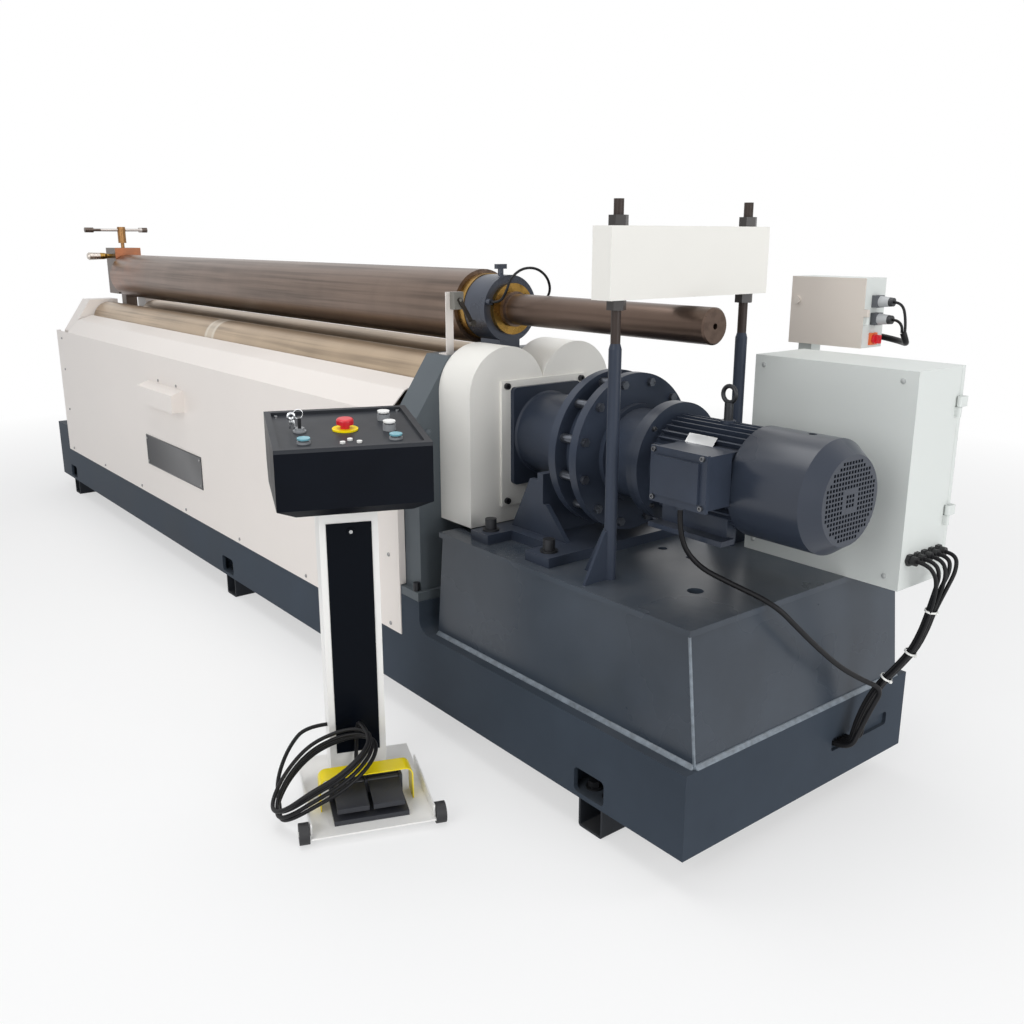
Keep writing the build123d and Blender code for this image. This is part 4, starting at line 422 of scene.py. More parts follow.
def sprayed_paint(
    name, colour, roughness=0.42, clouds=2.4, contrast=1.6, spread=0.13, peel=260.0, dust=0.2, gloss=0.5
):
    """Sprayed paint with a drift of tone, a fine skin and a little dust on top."""
    finish = Finish(name, roughness)
    finish.shader.inputs["Specular IOR Level"].default_value = gloss
    tone = finish.group("tone_clouds", Scale=clouds, Contrast=contrast)["Tone"]
    painted = finish.mottle(tone, colour, spread)
    dusty = finish.group("settled_dust", Amount=dust)["Mask"]
    finish.tint(finish.blend(dusty, painted, linear(150, 147, 142)))
    finish.feed("Roughness", finish.ramp(tone, roughness - 0.06, roughness + 0.08))
    finish.skin(peel, 0.12, 0.0006)
    return finish


def turned_steel(name, colour, roughness=0.36, metallic=0.75, lines=420.0, bands=5.0, spread=0.22):
    """Turned steel with fine lines round the bar and dark streaks along it, which are painted reflection.
    """
    finish = Finish(name, roughness, metallic)
    marks = finish.group("turning_lines", Lines=lines, Bands=bands)
    clouds = finish.group("tone_clouds", Scale=2.1, Contrast=2.2)["Tone"]
    base = finish.mottle(marks["Band"], colour, spread)
    # Painted reflection: dark streaks along the bar stand for dark surroundings mirrored in the steel.
    streaks = finish.both(finish.fade(marks["Streak"], 0.46, 0.62), finish.ramp(clouds, 0.1, 0.95))
    finish.tint(finish.blend(streaks, base, shift(colour, 0.45)))
    finish.feed("Roughness", finish.ramp(marks["Streak"], roughness - 0.10, roughness + 0.14))
    finish.bump(marks["Line"], 0.10, 0.0004)
    return finish


def moulded(name, colour, roughness=0.35, grain=700.0, strength=0.05, gloss=0.5):
    """Moulded plastic or rubber with a fine grain."""
    finish = Finish(name, roughness)
    finish.shader.inputs["Specular IOR Level"].default_value = gloss
    tone = finish.group("tone_clouds", Scale=18.0, Contrast=1.2)["Tone"]
    finish.tint(finish.mottle(tone, colour, 0.08))
    finish.skin(grain, strength)
    return finish


def bare_metal(name, colour, roughness=0.38, metallic=1.0, spread=0.15, scale=9.0):
    """Machined or cast metal with a cloudy sheen."""
    finish = Finish(name, roughness, metallic)
    tone = finish.group("tone_clouds", Scale=scale, Contrast=2.0)["Tone"]
    finish.tint(finish.mottle(tone, colour, spread))
    finish.feed("Roughness", finish.ramp(tone, roughness - 0.07, roughness + 0.10))
    finish.skin(420.0, 0.06)
    return finish


def repaint(finish, mask, colour):
    """Give a part of a solid another colour."""
    finish.tint(finish.blend(mask, finish.colour, colour))


def on_panel(across, away, rise=0.0):
    """Point on the console's panel, in metres."""
    return panel_spot + panel_across * across + panel_away * away + panel_up * rise


def on_pedestal(ahead, side, height):
    """Point of the pedestal's own frame, in metres."""
    ahead_way = Vector((math.cos(pedestal_heading), math.sin(pedestal_heading), 0))
    side_way = Vector((-math.sin(pedestal_heading), math.cos(pedestal_heading), 0))
    return pedestal_spot + ahead_way * ahead + side_way * side + Vector((0, 0, height))


def coat(finish, *nodes):
    """Put a finish on solids."""
    for node in nodes:
        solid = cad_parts[node]
        solid.data.materials.clear()
        solid.data.materials.append(finish.material)


class MACHINE_OT_paint_frame(bpy.types.Operator):
    """Paint the bed, stands, covers, drive and cabinets"""

    bl_idname = "machine.paint_frame"
    bl_label = "Paint Frame and Drive"

    def execute(self, context):
        colours = context.scene.machine_colours
        # The wide drift of tone on the bed and the riser is partly random tone and partly painted
        # reflection: light cloudy patches like gloss paint mirroring its surroundings.
        bed = sprayed_paint("bed_paint", colours.bed, 0.46, contrast=2.2, spread=0.2, dust=0.12, gloss=0.05)
        coat(bed, "bed_frame")
        riser = sprayed_paint("riser_paint", colours.bed, 0.30, contrast=2.4, spread=0.24, gloss=0.32)
        coat(riser, "drive_riser")
        coat(sprayed_paint("skid_paint", colours.skid, 0.5, gloss=0.15), "skid_tubes")
        coat(sprayed_paint("stand_paint", colours.stand, 0.42, gloss=0.2), "right_stand")
        drive = sprayed_paint(
            "drive_paint", colours.drive, 0.34, clouds=5.0, contrast=2.2, spread=0.2, dust=0.12, gloss=0.25
        )
        coat(drive, "reducer_housing", "reducer_end_disc", "reducer_foot", "terminal_box", "lift_drive")
        motor = sprayed_paint(
            "motor_paint", colours.drive, 0.32, clouds=7.0, contrast=2.2, spread=0.2, gloss=0.3
        )
        eye = motor.both(motor.above(motor.z, eye_bolt_z), motor.above(motor.x, eye_bolt_x))
        repaint(motor, eye, linear(118, 104, 98))
        coat(motor, "motor_body")
        dark = shift(colours.drive, 0.8)
        cowl = sprayed_paint("cowl_paint", dark, 0.30, spread=0.1, dust=0.06, gloss=0.25)
        cowl.shader.inputs["Coat Weight"].default_value = 0.35
        cowl.shader.inputs["Coat Roughness"].default_value = 0.24
        coat(cowl, "fan_cowl")
        posts = sprayed_paint("post_paint", colours.drive, 0.4, gloss=0.2)
        repaint(posts, posts.above(posts.z, stud_foot_z), linear(56, 47, 43))
        coat(posts, "tie_posts")
        sheet = sprayed_paint("cover_white", colours.cover, 0.34, clouds=1.3, spread=0.04, dust=0.05)
        coat(sheet, "front_cover", "rear_cover", "left_stand")
        coat(sprayed_paint("gear_cover_white", colours.beam, 0.36, spread=0.03, dust=0.05), "gear_cover")
        beam = sprayed_paint("beam_white", colours.beam, 0.36, spread=0.03, dust=0.05)
        nuts = beam.either(beam.below(beam.z, beam_foot_z), beam.above(beam.z, beam_head_z))
        repaint(beam, nuts, linear(38, 34, 33))
        coat(beam, "balance_beam")
        bracket = sprayed_paint("bracket_white", colours.cover, 0.4, spread=0.04)
        repaint(bracket, bracket.above(bracket.x, bracket_switch_x), linear(120, 118, 112))
        coat(bracket, "limit_bracket")
        skin = {"spread": 0.03, "peel": 620.0, "dust": 0.04}
        enclosure = sprayed_paint("cabinet_grey", colours.cabinet, 0.5, clouds=1.6, **skin)
        coat(enclosure, "enclosure_body", "enclosure_door")
        # Painted light: the door is given a warmer grey than the cabinet body, for the light on its front.
        coat(sprayed_paint("switch_door_grey", colours.lit_switch_door, 0.5, **skin), "switch_cabinet_door")
        box = sprayed_paint("switch_box_grey", colours.cabinet, 0.5, **skin)
        fitted = box.both(box.above(box.x, cabinet_side_x), box.above(box.y, cabinet_fitting_y))
        repaint(box, fitted, linear(84, 87, 92))
        repaint(box, box.both(fitted, box.above(box.x, cabinet_plug_x)), linear(176, 178, 180))
        repaint(box, box.both(fitted, box.above(box.x, cabinet_boot_x)), linear(40, 41, 44))
        repaint(box, box.both(fitted, box.below(box.z, isolator_top_z)), linear(226, 108, 52))
        coat(box, "switch_cabinet")
        return {"FINISHED"}


class MACHINE_OT_finish_metal(bpy.types.Operator):
    """Finish the rolls, gears, bushes, bearing parts and bolts"""

    bl_idname = "machine.finish_metal"
    bl_label = "Finish Bare Metal"

    def execute(self, context):
        colours = context.scene.machine_colours
        top = turned_steel("top_roll_steel", colours.top_roll, 0.30, 0.85, spread=0.30)
        rusty = top.ramp(top.group("tone_clouds", Scale=7.0, Contrast=3.0)["Tone"], 0.1, 0.9)
        repaint(top, top.both(top.fade(top.x, -1.30, -1.75), rusty), linear(150, 106, 82))
        # Painted shade: the tail of the roll past this point is darkened.
        repaint(top, top.ramp(top.above(top.x, shaded_tail_start_x), 0.0, 0.55), linear(74, 58, 50))
        coat(top, "top_roll")
        front = turned_steel("front_roll_steel", colours.lower_roll, 0.32, 0.7)
        for low, high, share in ((-0.410, -0.316, 0.45), (-0.404, -0.386, 0.6), (-0.340, -0.322, 0.6)):
            ring = front.both(front.above(front.x, low), front.below(front.x, high))
            repaint(front, front.ramp(ring, 0.0, share), linear(214, 206, 192))
        coat(front, "front_lower_roll")
        coat(turned_steel("rear_roll_steel", colours.lower_roll, 0.32, 0.7), "rear_lower_roll")
        coat(bare_metal("gear_steel", linear(120, 116, 110)), "drive_pinion", "left_lift_block")
        bronze = bare_metal("bearing_bronze", colours.bronze, 0.26, spread=0.4, scale=24.0)
        coat(bronze, "roll_bushes", "top_bearing_bush", "drop_arm_bush")
        coat(bare_metal("lever_steel", linear(84, 80, 76), 0.34), "limit_lever")
        pin = bare_metal("pin_bronze", colours.bronze, 0.26, spread=0.3, scale=40.0)
        repaint(pin, pin.below(pin.y, -0.122), linear(196, 188, 180))
        coat(pin, "locking_pin")
        coat(bare_metal("housing_iron", colours.iron, 0.27, 0.4), "top_bearing_housing")
        arm = bare_metal("arm_steel", colours.arm, 0.34, 0.7, spread=0.3, scale=7.0)
        # Painted light: the top of the arm's +X face is coppery in cloudy patches where light falls on it,
        # over the arm's dark steel.
        lit_patches = arm.ramp(arm.group("tone_clouds", Scale=14.0, Contrast=2.4)["Tone"], 0.45, 1.0)
        roll_side = arm.above(arm.x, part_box("drop_arm")[1][0] - 0.003)
        lit_top = arm.both(arm.both(roll_side, arm.fade(arm.z, 1.13, 1.24)), lit_patches)
        repaint(arm, lit_top, linear(172, 110, 76))
        coat(arm, "drop_arm")
        coat(bare_metal("blackened_steel", colours.bolt, 0.42, 0.7), "fasteners")
        bolts = bare_metal("bolt_steel", linear(104, 108, 116), 0.3, 0.85, spread=0.3, scale=60.0)
        coat(bolts, "reducer_bolts")
        clamp = bare_metal("screw_bronze", linear(140, 104, 66), 0.3, 0.9, spread=0.3, scale=30.0)
        aside = math_node(clamp.tree, "ABSOLUTE", clamp.y)
        repaint(clamp, clamp.above(aside, 0.0202), linear(186, 180, 176))
        repaint(clamp, clamp.above(aside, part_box("clamp_screw")[1][1] - 0.0275), linear(92, 82, 76))
        coat(clamp, "clamp_screw")
        return {"FINISHED"}


class MACHINE_OT_finish_pedestal(bpy.types.Operator):
    """Finish the pedestal with its console and pedals, and the machine's plastic parts"""

    bl_idname = "machine.finish_pedestal"
    bl_label = "Finish Control Pedestal"

    def execute(self, context):
        colours = context.scene.machine_colours
        body = sprayed_paint("pedestal_white", linear(238, 237, 234), 0.34, spread=0.03, dust=0.03)
        repaint(body, body.below(body.z, pedestal_foot_z), colours.sheath)
        coat(body, "pedestal_frame")
        panel = sprayed_paint("column_black", linear(9, 13, 20), 0.3, spread=0.1, dust=0.0, gloss=0.06)
        ahead = on_pedestal(1, 0, 0) - pedestal_spot
        screw = panel.post(on_pedestal(0.004, 0.004, 0.668), ahead, 0.0045)
        repaint(panel, screw, linear(190, 190, 190))
        coat(panel, "column_panel")
        console = sprayed_paint(
            "console_black", colours.console, 0.36, clouds=6.0, spread=0.3, dust=0.1, gloss=0.08
        )
        # The top panel's lighter grey is partly its own colour and partly painted sheen on the top face.
        repaint(console, console.beyond(panel_up, on_panel(0.0, 0.0, -0.0008)), linear(54, 56, 60))
        raised = console.beyond(panel_up, on_panel(0.0, 0.0, 0.0004))
        metal = linear(148, 151, 154)
        lit = linear(244, 244, 240)
        for across, away, radius, colour in (
            (0.001, -0.004, stop_ring_radius, colours.ring),
            (-0.102, -0.098, bezel_radius, metal),
            (0.102, -0.101, bezel_radius, metal),
            (0.102, 0.066, bezel_radius, metal),
            (0.100, -0.026, bezel_radius, metal),
            (-0.102, -0.002, bezel_radius, metal),
            (-0.019, -0.116, lamp_radius, lit),
            (0.000, -0.094, lamp_radius, lit),
            (0.018, -0.116, lamp_radius, lit),
        ):
            stub = console.post(on_panel(across, away), panel_up, radius)
            repaint(console, console.both(raised, stub), colour)
        coat(console, "console_box")
        coat(moulded("stop_red", colours.stop, 0.3), "emergency_stop")
        for name, colour, height, nodes in (
            ("blue_caps", colours.teal, 0.0092, ("blue_button_left", "blue_button_right")),
            ("white_caps", linear(246, 246, 244), 0.0192, ("white_button_rear", "white_button_front")),
        ):
            caps = moulded(name, linear(96, 98, 102), 0.25)
            repaint(caps, caps.beyond(panel_up, on_panel(0.0, 0.0, height)), colour)
            coat(caps, *nodes)
        lock = moulded("key_black", linear(24, 25, 28), 0.34)
        repaint(lock, lock.beyond(-panel_up, on_panel(0.0, 0.0, 0.0101)), metal)
        coat(lock, "key_switch")
        coat(moulded("black_plastic", colours.black, 0.45), "pedal_base", "left_pedal", "right_pedal")
        coat(moulded("gland_black", linear(24, 24, 26), 0.42), "cable_glands", "cooling_fan")
        guard = sprayed_paint("guard_yellow", colours.ring, 0.3, spread=0.05, dust=0.0)
        coat(guard, "pedal_guard")
        coat(moulded("wheel_rubber", linear(38, 38, 40), 0.6), "left_wheel", "right_wheel")
        coat(moulded("isolator_red", colours.stop, 0.3), "isolator_knob")
        return {"FINISHED"}


# Tools for modelled pieces
def clear_choice():
    """Leave edit mode and deselect everything."""
    if bpy.context.mode != "OBJECT":
        bpy.ops.object.mode_set(mode="OBJECT")
    bpy.ops.object.select_all(action="DESELECT")


def start_shape(add, name, **values):
    """Add a mesh shape with one of the primitive operators, and name it."""
    clear_choice()
    add(**values)
    piece = bpy.context.active_object
    piece.name = name
    return piece


def apply_place():
    """Move the active piece's place, turn and scale into its mesh."""
    bpy.ops.object.transform_apply(location=True, rotation=True, scale=True)


def start_box(name, low, high):
    """Add a box between two corners, with its place in its mesh."""
    middle = [(a + b) / 2 for a, b in zip(low, high)]
    piece = start_shape(bpy.ops.mesh.primitive_cube_add, name, size=1, location=middle)
    piece.scale = [b - a for a, b in zip(low, high)]
    apply_place()
    return piece


def edit_faces(piece, wanted):
    """Go to edit mode with the wanted faces selected."""
    bpy.ops.object.mode_set(mode="EDIT")
    bpy.ops.mesh.select_mode(type="FACE")
    bpy.ops.mesh.select_all(action="DESELECT")
    bpy.ops.object.mode_set(mode="OBJECT")
    for face in piece.data.polygons:
        face.select = wanted(face)
    bpy.ops.object.mode_set(mode="EDIT")


def round_edges(piece, width, segments=2):
    """Round every sharp edge with an applied bevel."""
    bpy.ops.object.mode_set(mode="OBJECT")
    bevel = piece.modifiers.new("rounding", "BEVEL")
    bevel.width = width
    bevel.segments = segments
    bevel.limit_method = "ANGLE"
    bpy.ops.object.modifier_apply(modifier=bevel.name)


def settle(piece, finish, body):
    """Finish a piece: smooth shading, material and body."""
    clear_choice()
    piece.select_set(True)
    bpy.context.view_layer.objects.active = piece
    apply_place()
    bpy.ops.object.shade_smooth_by_angle(angle=math.radians(35))
    piece.data.materials.clear()
    piece.data.materials.append(finish.material)
    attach(piece, body)


def push(x, y, z):
    """Extrude the selected faces along a way."""
    bpy.ops.mesh.extrude_region_move(TRANSFORM_OT_translate={"value": (x, y, z)})


def step_face(piece, outward, rim, step, rounding):
    """Inset the face that looks outward, push it by a step, and round the edges."""
    outward = Vector(outward)
    edit_faces(piece, lambda face: face.normal.dot(outward) > 0.9)
    bpy.ops.mesh.inset(thickness=rim, depth=0)
    push(*(outward * step))
    round_edges(piece, rounding)


def join_pieces(first, *others):
    """Join pieces into the first of them."""
    clear_choice()
    for piece in (first, *others):
        piece.select_set(True)
    bpy.context.view_layer.objects.active = first
    bpy.ops.object.join()


def frame_at(place, x_way, y_way, z_way):
    """Matrix that sets a piece at a place, with its own axes along three directions."""
    return Matrix.Translation(place) @ Matrix((x_way, y_way, z_way)).transposed().to_4x4()


def start_round(name, vertices, radius, depth):
    """Add a round bar that stands on the XY plane, and select its top in edit mode."""
    sizes = {"vertices": vertices, "radius": radius, "depth": depth}
    bar = start_shape(bpy.ops.mesh.primitive_cylinder_add, name, location=(0, 0, depth / 2), **sizes)
    apply_place()
    edit_faces(bar, lambda face: face.normal.z > 0.9)
    return bar


def dome_head(name, radius, height):
    """Model one domed head that stands on the XY plane at the origin."""
    head = start_round(name, 16, radius, height * 0.4)
    for rise, share in ((0.35, 0.78), (0.25, 0.45)):
        push(0, 0, height * rise)
        bpy.ops.transform.resize(value=(share, share, 1))
    bpy.ops.object.mode_set(mode="OBJECT")
    return head


def socket_head(name, radius, height):
    """Model one socket-head screw that stands on the XY plane at the origin."""
    head = start_round(name, 18, radius, height)
    for rim in (0.14, 0.32):
        bpy.ops.mesh.inset(thickness=radius * rim, depth=0)
    push(0, 0, -height * 0.55)
    bpy.ops.object.mode_set(mode="OBJECT")
    return head


def front_grid(columns, y, rows):
    """Places on an upright face, in columns and rows, that all look to the front."""
    return [((x, y, z), (0, -1, 0)) for x in columns for z in rows]


def spread_copies(head, name, places):
    """Copy one head to many places, each with the way it faces, and join the copies into one piece."""
    copies = []
    for number, (place, outward) in enumerate(places):
        turn = Vector(outward).to_track_quat("Z", "Y").to_matrix().to_4x4()
        copy = bpy.data.objects.new(f"{name}_{number}", head.data.copy())
        bpy.context.collection.objects.link(copy)
        copy.data.transform(Matrix.Translation(place) @ turn)
        copies.append(copy)
    clear_choice()
    head.select_set(True)
    bpy.ops.object.delete()
    join_pieces(*copies)
    copies[0].name = name
    return copies[0]


# Cables
def line_points(cable):
    """Points along a cable's own line, read from its curve with no round section."""
    bare = bpy.data.objects.new("bare_line", cable.data.copy())
    bare.data.bevel_depth = 0.0
    bpy.context.collection.objects.link(bare)
    bpy.context.view_layer.update()
    line = bpy.data.meshes.new_from_object(bare)
    points = [corner.co.copy() for corner in line.vertices]
    curve = bare.data
    bpy.data.objects.remove(bare)
    bpy.data.curves.remove(curve)
    bpy.data.meshes.remove(line)
    return points


def tie_band(name):
    """Model one cable tie round a flat bundle, with its lock at the front."""
    lock = start_box("tie_lock", (0.0118, -0.0035, -0.0032), (0.0172, 0.0035, 0.0032))
    step_face(lock, (1, 0, 0), 0.0012, 0.0012, 0.0006)
    sizes = {"vertices": 32, "radius": 1, "depth": 0.0046}
    band = start_shape(bpy.ops.mesh.primitive_cylinder_add, name, end_fill_type="NOTHING", **sizes)
    band.scale = (0.0118, 0.0170, 1)
    apply_place()
    wall = band.modifiers.new("strap", "SOLIDIFY")
    wall.thickness = 0.0013
    wall.offset = 1.0
    bpy.ops.object.modifier_apply(modifier=wall.name)
    join_pieces(band, lock)
    return band


def strap_bundle(cable):
    """Strap the cables of a bundle together with three pale ties along its middle cable."""
    line = line_points(cable)
    finish = moulded("tie_white", linear(232, 232, 228), 0.4)
    ties = []
    for number, height in enumerate((0.532, 0.424, 0.350)):
        near = min(range(1, len(line) - 1), key=lambda step: abs(line[step].z - height))
        along = (line[near + 1] - line[near - 1]).normalized()
        outward = Vector((1, 0, 0))
        outward = (outward - along * outward.dot(along)).normalized()
        tie = tie_band(f"cable_tie_{number + 1}")
        tie.matrix_world = frame_at(line[near] - outward * 0.0042, outward, along.cross(outward), along)
        settle(tie, finish, "machine")
        ties.append(tie)
    return ties


def lay_cable(name, points, radius, finish, body, length, stiffness, lay, node, strap=None):
    """Lay a cable along its route as one smooth round line, with its ties where it has any."""
    line = bpy.data.curves.new(name, "CURVE")
    line.dimensions = "3D"
    line.bevel_depth = radius
    line.bevel_resolution = 4
    line.resolution_u = 8
    line.use_fill_caps = True
    spline = line.splines.new("NURBS")
    spline.points.add(len(points) - 1)
    for knot, place in zip(spline.points, points):
        knot.co = (*place, 1.0)
    spline.order_u = 3
    spline.use_endpoint_u = True
    cable = bpy.data.objects.new(name, line)
    bpy.context.collection.objects.link(cable)
    line.materials.append(finish.material)
    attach(cable, body)
    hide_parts(node)
    strap(cable) if strap else ()
    return cable


def sheath_finish(colours, name, lustre):
    """Black cable sheath."""
    return moulded(name, colours.sheath, lustre, 900.0, 0.08, 0.2)


class MACHINE_OT_lay_motor_cable(bpy.types.Operator):
    """Lay the cable from the terminal box down to the slot in the bed"""

    bl_idname = "machine.lay_motor_cable"
    bl_label = "Lay Motor Cable"

    def execute(self, context):
        route = [
            (2.128, -0.1605, 0.77225),
            (2.128, -0.1605, 0.704),
            (2.152, -0.124, 0.640),
            (2.221, -0.096, 0.614),
            (2.328, -0.074, 0.590),
            (2.354, -0.012, 0.522),
            (2.363, 0.055, 0.462),
            (2.375, 0.120, 0.407),
            (2.390, 0.190, 0.362),
            (2.410, 0.248, 0.330),
            (2.396, 0.232, 0.282),
            (2.384, 0.212, 0.228),
            (2.376, 0.190, 0.177),
            (2.326, 0.190, 0.177),
        ]
        finish = sheath_finish(context.scene.machine_colours, "motor_cable_sheath", 0.5)
        radius = context.scene.machine_sizes.motor_cable
        lay_cable("motor_lead", route, radius, finish, "machine", 0.942, "medium", "hanging", "motor_cable")
        return {"FINISHED"}


class MACHINE_OT_lay_cabinet_cables(bpy.types.Operator):
    """Lay the bundle from the enclosure's glands down to the slot in the bed, and strap it with ties"""

    bl_idname = "machine.lay_cabinet_cables"
    bl_label = "Lay Cabinet Cables"

    def execute(self, context):
        finish = sheath_finish(context.scene.machine_colours, "cabinet_cable_sheath", 0.5)
        radius = context.scene.machine_sizes.cabinet_cable
        for number in range(5):
            gland = 0.258 + 0.030 * number
            beside = 0.005 * (number - 2)
            behind = 0.009 * (number % 2)
            route = [
                (2.454, gland, 0.649),
                (2.480, gland, 0.649),
                (2.497 - 0.4 * behind, 0.65 * gland + 0.35 * (0.296 + beside), 0.622),
                (2.493 - behind, 0.25 * gland + 0.75 * (0.296 + beside), 0.580),
                (2.482 - behind, 0.296 + beside, 0.530),
                (2.471 - behind, 0.295 + beside, 0.482),
                (2.454 - behind, 0.290 + beside, 0.430),
                (2.428 - behind, 0.277 + beside, 0.382),
                (2.398 - behind, 0.262 + beside, 0.334),
                (2.380 - behind, 0.246 + beside, 0.286),
                (2.370 - behind, 0.232 + 1.5 * beside, 0.230),
                (2.366 - behind, 0.224 + 2.1 * beside, 0.177),
                (2.326, 0.224 + 2.1 * beside, 0.177),
            ]
            name = f"cabinet_lead_{number + 1}"
            strap = strap_bundle if number == 2 else None
            way = ("machine", 0.561, "medium", "hanging", "cabinet_cables")
            lay_cable(name, route, radius, finish, *way, strap)
        return {"FINISHED"}


class MACHINE_OT_lay_plug_cables(bpy.types.Operator):
    """Lay the two thin cables from the switch cabinet's plugs and the sleeve that takes them in"""

    bl_idname = "machine.lay_plug_cables"
    bl_label = "Lay Plug Cables"

    def execute(self, context):
        sizes = context.scene.machine_sizes
        finish = sheath_finish(context.scene.machine_colours, "plug_cable_sheath", 0.42)
        upper = [
            (2.165, 0.5455, 1.189),
            (2.189, 0.5455, 1.189),
            (2.202, 0.5455, 1.146),
            (2.202, 0.5455, 1.116),
        ]
        lower = [
            (2.165, 0.5455, 1.146),
            (2.176, 0.5455, 1.146),
            (2.188, 0.5455, 1.139),
            (2.194, 0.5455, 1.128),
            (2.194, 0.5455, 1.116),
        ]
        sleeve = [
            (2.198, 0.5455, 1.116),
            (2.204, 0.5505, 1.095),
            (2.186, 0.5815, 1.088),
            (2.150, 0.609, 1.090),
            (2.084, 0.615, 1.098),
            (2.084, 0.589, 1.098),
        ]
        for name, route, radius, length, stiffness in (
            ("upper_plug_lead", upper, sizes.plug_cable, 0.0926, "medium"),
            ("lower_plug_lead", lower, sizes.plug_cable, 0.0515, "medium"),
            ("plug_sleeve", sleeve, sizes.sleeve, 0.177, "stiff"),
        ):
            lay_cable(name, route, radius, finish, "machine", length, stiffness, "hanging", "plug_cables")
        return {"FINISHED"}


class MACHINE_OT_lay_bearing_hose(bpy.types.Operator):
    """Lay the grease hose that arches over the top bearing"""

    bl_idname = "machine.lay_bearing_hose"
    bl_label = "Lay Bearing Hose"

    def execute(self, context):
        start = 1.345
        front = [
            (start, -0.080, 1.174),
            (start + 0.040, -0.080, 1.174),
            (start + 0.064, -0.078, 1.202),
            (start + 0.066, -0.066, 1.236),
            (start + 0.066, -0.036, 1.259),
        ]
        rear = [(x, -y, z) for x, y, z in reversed(front)]
        route = front + [(start + 0.066, 0.0, 1.266)] + rear
        finish = sheath_finish(context.scene.machine_colours, "hose_sheath", 0.4)
        radius = context.scene.machine_sizes.hose
        way = ("right_lift", 0.362, "stiff", "loose", "bearing_hose")
        lay_cable("bearing_lead", route, radius, finish, *way)
        return {"FINISHED"}


def loop_point(step):
    """Corner of the pedal cable's loops, by its number along the cable."""
    corners = 12
    centre = Vector((0.115, -0.097, 0.126))
    long_arm = Vector((-0.025, 0.119, 0.046))
    short_arm = Vector((0.080, 0.011, -0.012))
    pile_way = Vector((0.209, -0.312, 0.927))
    turn = math.radians(-157.5 - 360 * step / corners)
    lap = step / corners
    stretch = 1.02 + 0.03 * math.sin(2.3 * lap)
    place = centre + long_arm * (stretch * math.cos(turn))
    place += short_arm * (stretch * math.sin(turn))
    place += pile_way * (0.015 * (lap - 2))
    place.z -= 0.6 * max(0.0, -0.150 - place.y)
    return tuple(place)


class MACHINE_OT_lay_pedal_cable(bpy.types.Operator):
    """Lay the pedal cable in loose loops over the guard"""

    bl_idname = "machine.lay_pedal_cable"
    bl_label = "Lay Pedal Cable"

    def execute(self, context):
        route = [
            (-0.050, -0.070, 0.150),
            (-0.050, -0.125, 0.150),
            (-0.028, -0.165, 0.118),
            (0.012, -0.194, 0.082),
            (0.056, -0.208, 0.052),
        ]
        route += [loop_point(step) for step in range(43)]
        route += [
            (0.066, 0.0, 0.202),
            (0.028, -0.004, 0.180),
            (0.014, -0.006, 0.128),
            (0.018, -0.009, 0.082),
            (0.040, -0.013, 0.050),
            (0.070, -0.014, 0.038),
            (0.100, -0.014, 0.038),
        ]
        placed = [tuple(on_pedestal(*point)) for point in route]
        finish = sheath_finish(context.scene.machine_colours, "pedal_cable_sheath", 0.42)
        radius = context.scene.machine_sizes.pedal_cable
        lay_cable("pedal_lead", placed, radius, finish, "pedestal", 3.01, "medium", "coiled", "pedal_cable")
        return {"FINISHED"}


# Small pieces on the covers, the drive and the console
class MACHINE_OT_add_cover_plate(bpy.types.Operator):
    """Model the bare dark plate on the front cover"""

    bl_idname = "machine.add_cover_plate"
    bl_label = "Add Bare Cover Plate"

    def execute(self, context):
        plate = start_box("cover_plate", (-0.800, plate_face_y, 0.385), (-0.180, cover_face_y, 0.517))
        step_face(plate, (0, -1, 0), 0.005, -0.0008, 0.0006)
        colour = context.scene.machine_colours.plate
        finish = sprayed_paint("plate_black", colour, 0.3, spread=0.08, dust=0.0)
        settle(plate, finish, "machine")
        return {"FINISHED"}


class MACHINE_OT_add_cover_rivets(bpy.types.Operator):
    """Rivet the front cover, its plate and its hood"""

    bl_idname = "machine.add_cover_rivets"
    bl_label = "Add Cover Rivets"

    def execute(self, context):
        radius = context.scene.machine_sizes.rivet
        places = front_grid((-1.98, -1.45, -0.92, -0.39, 0.14, 0.67, 1.20), cover_face_y, (0.262,))
        places += front_grid((-1.98, 1.20), cover_face_y, (0.47, 0.68, 0.84))
        places += front_grid((-0.785, -0.195), plate_face_y, (0.400, 0.502))
        places += front_grid((-0.587, -0.385), cover_face_y, (0.772,))
        rivets = spread_copies(dome_head("rivet", radius, 0.004), "cover_rivets", places)
        finish = bare_metal("rivet_zinc", linear(150, 150, 150), 0.4)
        settle(rivets, finish, "machine")
        return {"FINISHED"}


class MACHINE_OT_add_enclosure_caps(bpy.types.Operator):
    """Add the domed screws on the enclosure's front"""

    bl_idname = "machine.add_enclosure_caps"
    bl_label = "Add Enclosure Screws"

    def execute(self, context):
        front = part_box("enclosure_body")[0][1]
        places = front_grid((2.030, 2.396), front, (0.608, 1.047))
        caps = spread_copies(dome_head("cap", 0.0062, 0.004), "enclosure_caps", places)
        finish = moulded("cap_grey", linear(168, 171, 170), 0.3)
        settle(caps, finish, "machine")
        return {"FINISHED"}


